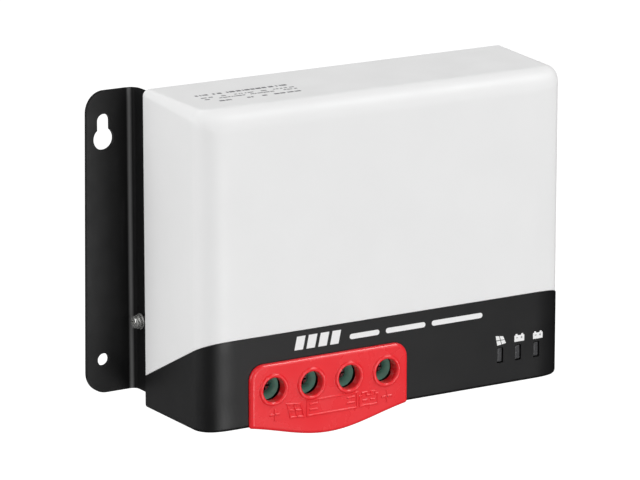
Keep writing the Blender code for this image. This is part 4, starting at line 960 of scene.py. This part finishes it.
def make_terminal_guard():
    back_y = SHELL_LOW.y - GAP
    front_y = back_y - GUARD_PLATE
    angles = [math.radians(90 * step / 8) for step in range(9)]
    outlines = [guard_outline(0)]
    outlines += [guard_outline(GUARD_EDGE * (1 - math.cos(angle))) for angle in angles]
    depths = [back_y] + [front_y + GUARD_EDGE * (1 - math.sin(angle)) for angle in angles]
    guard = new_object("terminal_guard", slabs_mesh([(outlines, depths)]))

    half = GUARD_HALF - RIM_INSET
    outer, inner = (
        rounded_rectangle((GUARD_MIDDLE - half + wall, RIM_LOW_Z + wall),
                          (GUARD_MIDDLE + half - wall, RIM_HIGH_Z - wall), radius)
        for wall, radius in ((0, 0.8 * MM), (RIM_WALL, 0.5 * MM)))
    combine(guard, slab_mesh(outer, (back_y + front_y) / 2, GUARD_HIGH.y), "UNION")
    combine(guard, slab_mesh(inner, back_y, GUARD_HIGH.y + MM))
    for x in TERMINAL_XS:
        start = (x, front_y - MM, TERMINAL_Z)
        end = (x, GUARD_HIGH.y + MM, TERMINAL_Z)
        combine(guard, rods_mesh([(start, end, (BORE_RADIUS + TUBE_RADIUS) / 2)], 64))
        ring = turned_mesh(collar_profile(), (x, front_y, TERMINAL_Z), (0, -1, 0), 64, closed=True)
        combine(guard, ring, "UNION")
    for points in MARK_RINGS:
        combine(guard, ring_mark(points, front_y), "UNION")
    for start, end in MARK_STROKES:
        combine(guard, stroke_mark(start, end, front_y), "UNION")
    weigh(guard)
    finish_piece(guard, RED, ["terminal_cover"], smooth=28)


# ---- fasteners

def thread_profile(radius, start, end, pitch):
    """Crests and roots of a thread, as profile points from start down to end."""
    depth = pitch * 0.55
    turns = max(1, int((start - end) / pitch))
    profile = []
    for turn in range(turns):
        top = start - (start - end) * turn / turns
        for share, inset in ((0.15, 0), (0.35, 0), (0.7, depth), (0.85, depth)):
            profile.append((radius - inset, top - pitch * share))
    return profile


def add_screw(name, place, axis, head_radius, head_height, shank_radius, length, pitch):
    """A pan-head screw with a cross recess; place is on its axis, under the head."""
    edge = head_height * 0.55
    profile = [(0, head_height), (head_radius * 0.5, head_height * 0.985)]
    profile += arc((head_radius - edge, head_height - edge), edge, 75, 0, 8)
    profile += [(head_radius, 0.25 * MM), (head_radius - 0.25 * MM, 0), (shank_radius, 0)]
    tip = shank_radius * 0.6
    profile.append((shank_radius, -0.6 * MM))
    profile += thread_profile(shank_radius, -0.8 * MM, -length + tip, pitch)
    profile += [(shank_radius - tip * 0.8, -length), (0, -length)]
    screw = new_object(name, turned_mesh(profile, place, axis, 48))

    reach = head_radius * 0.6
    slot = head_radius * 0.12
    turn = Vector(axis).to_track_quat("Z", "Y").to_matrix()
    bm = bmesh.new()
    rings = []
    for height, share in ((head_height + 0.5 * MM, 1.12), (head_height * 0.4, 0.62)):
        wide = reach * share
        quarter = ((wide, -slot), (wide, slot), (slot, slot))
        outline = []
        for _ in range(4):
            outline += quarter
            quarter = [(-b, a) for a, b in quarter]
        rings.append([bm.verts.new(Vector(place) + turn @ Vector((a, b, height)))
                      for a, b in outline])
    bm.faces.new(rings[0])
    bm.faces.new(rings[1])
    loft(bm, rings)
    combine(screw, mesh_of(bm, "recess"))
    weigh(screw)
    return screw


def make_terminal_blocks():
    """Green blocks: a funnel mouth and a well for the screwdriver, and hollows for the screw, the
    cage and the bar."""
    for number, x in enumerate(TERMINAL_XS, start=1):
        low, high = local_box(f"terminal_block_{number}")
        outlines = [
            rounded_rectangle((low.x + inset, low.z + inset), (high.x - inset, high.z - inset),
                              BLOCK_CORNER - inset)
            for inset in (BLOCK_CHAMFER, 0, 0)]
        depths = (low.y, low.y + BLOCK_CHAMFER, high.y)
        block = new_object(f"green_block_{number}", slabs_mesh([(outlines, depths)]))
        floor = low.y - WELL_FLOOR_Y
        profile = ((0, OVER), (MOUTH_RADIUS, OVER), (MOUTH_RADIUS, 0), (WELL_RADIUS, -MOUTH_DEPTH),
                   (WELL_RADIUS, floor + WELL_CHAMFER), (WELL_RADIUS - WELL_CHAMFER, floor),
                   (0, floor))
        combine(block, turned_mesh(profile, (x, low.y, TERMINAL_Z), (0, -1, 0), 64))
        cage_low, cage_high = local_box(f"clamp_cage_{number}")
        shank = ((x, low.y, TERMINAL_Z), (x, cage_low.y + OVER, TERMINAL_Z), SHANK_BORE)
        combine(block, rods_mesh([shank]))
        window = cage_high.x - x - CAGE_SIDE
        bar_low, bar_high = local_box(f"contact_bar_{number}")
        hollows = (
            ((cage_low.x - CAGE_PLAY, BLOCK_CHAMBER_Y, cage_low.z - CAGE_PLAY),
             (cage_high.x + CAGE_PLAY, cage_high.y + CAGE_PLAY, cage_high.z + CAGE_PLAY)),
            ((x - window, cage_low.y + CAGE_FRAME, low.z - OVER),
             (x + window, cage_high.y - CAGE_BASE, TERMINAL_Z)),
            ((bar_low.x - BAR_PLAY, bar_low.y - BAR_PLAY, TERMINAL_Z),
             (bar_high.x + BAR_PLAY, bar_low.y + BAR_SHEET + BAR_PLAY, high.z + OVER)),
        )
        for hollow in hollows:
            combine(block, box_mesh(*hollow))
        weigh(block)
        finish_piece(block, GREEN, [f"terminal_block_{number}"])


def make_terminal_screws():
    for number, x in enumerate(TERMINAL_XS, start=1):
        end_y = local_box(f"terminal_screw_{number}")[1].y
        body = f"clamp_screw_{number}"
        screw = add_screw(body, (x, UNDER_HEAD_Y, TERMINAL_Z), (0, -1, 0), *TERMINAL_HEAD,
                          TERMINAL_SHANK, end_y - UNDER_HEAD_Y, 0.8 * MM)
        finish_piece(screw, SCREW_STEEL, [f"terminal_screw_{number}"], body)


def make_back_screws():
    """Screws that are driven from the wall side: four for the shells, two for the heat sink."""
    for kind, count, head_radius, head_height, shank_radius in BACK_SCREWS:
        for number in range(1, count + 1):
            node = f"{kind}_{number}"
            low, high = local_box(node)
            x, _, z = centre_of(node)
            under_head = high.y - head_height
            screw = add_screw(
                node + "_threaded", (x, under_head, z), (0, 1, 0), head_radius, head_height,
                shank_radius, high.y - low.y - head_height, FINE_PITCH)
            finish_piece(screw, ZINC, [node])


def make_ground_terminal():
    """Earth screw on the plate's left leg with its flat washer, split washer and nut."""
    _, y, z = centre_of("ground_screw")
    under_head = min(local_box(node)[0].x for node in ("ground_lock_washer", "ground_washer"))
    length = local_box("ground_screw")[1].x - under_head
    screw = add_screw("earth_screw", (under_head, y, z), (-1, 0, 0), *EARTH_HEAD, EARTH_SHANK,
                      length, FINE_PITCH)
    finish_piece(screw, ZINC, ["ground_screw"])
    for name, node, outer in (("earth_washer", "ground_washer", 3.7 * MM),
                              ("earth_lock_washer", "ground_lock_washer", 3.3 * MM)):
        low, high = local_box(node)
        profile = rounded_rectangle((CLEARANCE_RADIUS, 0), (outer, high.x - low.x), WASHER_EDGE, 3)
        washer = new_object(name, turned_mesh(profile, (high.x, y, z), (-1, 0, 0), 64, closed=True))
        if node == "ground_lock_washer":
            combine(washer, box_mesh((low.x - MM, y + MM, z - SPLIT_HALF),
                                     (high.x + MM, y + OVER, z + SPLIT_HALF)))
        weigh(washer)
        finish_piece(washer, ZINC, [node])
    low, high = local_box("ground_nut")
    height = high.x - low.x
    flat = NUT_RADIUS - NUT_CHAMFER
    profile = [(flat, 0), (NUT_RADIUS, NUT_CHAMFER), (NUT_RADIUS, height - NUT_CHAMFER),
               (flat, height), (CLEARANCE_RADIUS, height), (CLEARANCE_RADIUS, 0)]
    nut = new_object("earth_nut", turned_mesh(profile, (low.x, y, z), (1, 0, 0), 6, closed=True))
    soften(nut, 0.15 * MM)
    finish_piece(nut, ZINC, ["ground_nut"])


# ---- indicators and prints

def make_light_pipes():
    for number, x in enumerate(INDICATOR_XS, start=1):
        low, high = local_box(f"light_pipe_{number}")
        outlines = [indicator_outline(x, LENS_PLAY + inset * MM, (0.365 - 0.3 * inset) * MM)
                    for inset, _ in LENS_EDGE]
        depths = [low.y + depth * MM for _, depth in LENS_EDGE] + [high.y]
        outlines.append(outlines[-1])
        pipe = new_object(f"smoked_window_{number}", slabs_mesh([(outlines, depths)]))
        rim = rounded_rectangle((low.x, low.z), (high.x, high.z), 0.4 * MM)
        rim_front = COVER_LOW.y + WALL + GAP
        combine(pipe, slab_mesh(rim, rim_front, rim_front + 1.2 * MM), "UNION")
        weigh(pipe)
        finish_piece(pipe, LENS, [f"light_pipe_{number}"])


def print_piece(name, outlines):
    """Thin raised white ink on the lower shell's front; outlines are in millimetres."""
    slabs = []
    for outline in outlines:
        points = [(a * MM, b * MM) for a, b in outline]
        slabs.append(((points, points), (SHELL_LOW.y, SHELL_LOW.y - PRINT_DEPTH)))
    return finish_piece(new_object(name, slabs_mesh(slabs)), WHITE_INK)


def slanted_blocks():
    """Four blocks that lean to the right, like the strokes of italic letters."""
    (left, low), (width, height), pitch, slant = SLANTED_BLOCKS
    shift = height * slant
    outline = ((0, 0), (width - shift, 0), (width, height), (shift, height))
    return [[(left + index * pitch + a, low + b) for a, b in outline] for index in range(4)]


def panel_icon():
    """Two by two cells of a solar panel that is seen at an angle."""
    top_left, top_right, bottom_right, bottom_left = map(Vector, PANEL_CORNERS)
    cells = []
    for column in (0, 1):
        for row in (0, 1):
            cell = []
            for across, down in ((0, 0), (1, 0), (1, 1), (0, 1)):
                across = across * PANEL_CELL + column * (1 - PANEL_CELL)
                down = down * PANEL_CELL + row * (1 - PANEL_CELL)
                top = top_left.lerp(top_right, across)
                cell.append(top.lerp(bottom_left.lerp(bottom_right, across), down))
            cells.append(cell)
    return cells


def make_battery_icon(number, left, right, low, high):
    body = high - 0.7
    top = ((0, body), (0.5, body), (0.7, high), (1.6, high), (1.8, body))
    outline = [(left, low), (right, low)] + [(right - a, b) for a, b in top]
    outline += [(left + a, b) for a, b in reversed(top)]
    icon = print_piece(f"print_battery_icon_{number}", [outline])
    height = (body + low) / 2 + 0.3
    for start, end in (((left + 1.0, height), (left + 1.9, height)),
                       ((right - 1.9, height), (right - 1.0, height)),
                       ((right - 1.45, height - 0.45), (right - 1.45, height + 0.45))):
        cut = [(a * MM, b * MM) for a, b in mark_outline(start, end, SIGN_WIDTH)]
        sign = slab_mesh(cut, SHELL_LOW.y - MM, SHELL_LOW.y + MM)
        sign.transform(Matrix.Translation(ORIGIN))
        combine(icon, sign)


def make_prints():
    print_piece("print_slanted_blocks", slanted_blocks())
    print_piece("print_bars", [rounded_rectangle((left, BAR_ZS[0]), (right, BAR_ZS[1]), 1.24, 8)
                               for left, right in BAR_ENDS])
    print_piece("print_panel_icon", panel_icon())
    for number, sizes in enumerate(BATTERIES, start=1):
        make_battery_icon(number, *sizes)


def make_label():
    """A faint data label on top, with rows of short dashes in place of its lettering."""
    random.seed(7)
    slabs = []
    for row, (y, height) in enumerate(LABEL_ROWS):
        x = LABEL_ENDS[0] + row * LABEL_STAGGER
        while x < LABEL_ENDS[1]:
            width = random.uniform(*DASH_WIDTHS)
            if random.random() < DASH_SHARE:
                points = [(a * MM, b * MM) for a, b in (
                    (x, y), (x + width, y), (x + width, y + height), (x, y + height))]
                middle_y = (y + height / 2) * MM
                ink_z = COVER_HIGH.z - LABEL_DEPTH - TOP_TILT * front_share(middle_y)
                slabs.append(((points, points), (ink_z - LABEL_DEPTH, ink_z + LABEL_DEPTH)))
            x += width + random.uniform(*DASH_GAPS)
    label = new_object("top_label_dashes", slabs_mesh(slabs, "Z"))
    finish_piece(label, GREY_INK)


# ---- carried-over CAD nodes

# CAD nodes that stay: kind, how many are numbered, material, edge rounding in millimetres
CARRIED = (
    ("clamp_cage", 4, ZINC, 0.15), ("contact_bar", 4, TINNED, 0.2),
    ("circuit_board", 0, BOARD, 0.1), ("standoff", 4, ZINC, 0.15), ("board_screw", 4, ZINC, 0),
    ("inductor_core", 0, FERRITE, 0), ("inductor_winding", 0, WIRE, 0), ("capacitor", 3, SLEEVE, 0),
    ("power_transistor", 4, RESIN, 0.2), ("thermal_pad", 0, PAD, 0.1),
    ("battery_fuse", 0, FUSE, 0.15), ("status_led", 3, LED, 0.2),
    ("indicator_board", 0, BOARD, 0.1), ("ribbon_cable", 0, RIBBON, 0.2),
)


def dress_carried_nodes():
    """Materials and softly rounded edges for CAD nodes, whose meshes are left as they are."""
    for kind, count, material, edge in CARRIED:
        for name in [f"{kind}_{number}" for number in range(1, count + 1)] or [kind]:
            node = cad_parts[name]
            node.data.materials.clear()
            node.data.materials.append(material)
            weld = node.modifiers.new("joined_points", "WELD")
            weld.merge_threshold = 0.001 * MM
            if edge:
                soften(node, edge * MM)
            else:
                weigh(node)


# ---- floor, lights and camera

TARGET = ORIGIN + Vector((2.2, -4.3, 63.9)) * MM
VIEW_DIRECTION = Vector((0.5070, 0.8267, -0.2439))
VIEW_DISTANCE = 2.024
LENS_LENGTH = 242.99
FLOOR_DROP = 1.8
FLOOR_HALF = 14.0
FLOOR_GLOW = 0.6
ROOM_STRENGTH = 0.60

# Lights: azimuth and elevation in degrees, 0 towards +X; distance, width, height; radiance
SOFTBOXES = {
    "front_strip": (283, -14, 2.4, 0.42, 2.0, 5.8),
    "key_box": (325, 47, 2.2, 0.9, 0.7, 6.5),
    "above_left_box": (232, 50, 2.2, 0.45, 0.45, 4.0),
    "front_right_box": (304, 20, 2.2, 0.7, 1.3, 0.9),
    "left_box": (170, 20, 2.2, 2.6, 2.0, 1.5),
    "back_left_box": (136, 0, 2.6, 2.0, 2.2, 0.28),
    "back_low_box": (75, -20, 2.4, 2.0, 1.0, 1.0),
    "back_high_box": (90, 60, 2.4, 1.8, 1.2, 1.3),
}


def make_floor():
    bm = bmesh.new()
    bmesh.ops.create_grid(bm, x_segments=12, y_segments=12, size=FLOOR_HALF,
                          matrix=Matrix.Translation((0, 0, -FLOOR_DROP)))
    floor = new_object("studio_floor", mesh_of(bm, "floor"))
    surface = Surface("pale_floor", (0.85, 0.85, 0.85), 0.9, specular=0.0)
    surface.stain((0.83, 0.83, 0.83), 2, 4, 0.3, 0.7, 0.5)
    surface.shader.inputs["Emission Color"].default_value = (1, 1, 1, 1)
    surface.shader.inputs["Emission Strength"].default_value = FLOOR_GLOW
    floor.data.materials.append(surface.material)
    floor.visible_glossy = False
    floor.visible_diffuse = False


def make_softbox(name, azimuth, elevation, distance, width, height, radiance):
    """A rectangular area light that faces the object and isn't seen itself."""
    azimuth, elevation = math.radians(azimuth), math.radians(elevation)
    flat = math.cos(elevation)
    towards = Vector((math.cos(azimuth) * flat, math.sin(azimuth) * flat, math.sin(elevation)))
    light = bpy.data.lights.new(name, "AREA")
    light.shape = "RECTANGLE"
    light.size = width
    light.size_y = height
    light.energy = radiance * math.pi * width * height
    lamp = new_object(name, light)
    lamp.location = TARGET + towards * distance
    lamp.rotation_euler = (-towards).to_track_quat("-Z", "Y").to_euler()
    lamp.visible_camera = False


def make_lights():
    world = bpy.data.worlds.new("soft_room")
    bpy.context.scene.world = world
    world.use_nodes = True
    background = world.node_tree.nodes["Background"]
    background.inputs["Color"].default_value = (1, 1, 1, 1)
    background.inputs["Strength"].default_value = ROOM_STRENGTH
    world.cycles_visibility.glossy = False
    for name, sizes in SOFTBOXES.items():
        make_softbox(name, *sizes)


def make_camera():
    data = bpy.data.cameras.new("camera")
    data.lens = LENS_LENGTH
    data.sensor_width = 36.0
    data.clip_end = 100.0
    camera = new_object("camera", data)
    camera.location = TARGET - VIEW_DIRECTION.normalized() * VIEW_DISTANCE
    camera.rotation_euler = VIEW_DIRECTION.to_track_quat("-Z", "Y").to_euler()
    bpy.context.scene.camera = camera


# ---- everything together

make_upper_cover()
make_lower_shell()
make_mounting_plate()
make_heat_sink()
make_terminal_guard()
make_terminal_blocks()
make_terminal_screws()
make_back_screws()
make_ground_terminal()
make_light_pipes()
make_prints()
make_label()
dress_carried_nodes()
make_floor()
make_lights()
make_camera()
bpy.context.scene.view_settings.view_transform = "Standard"
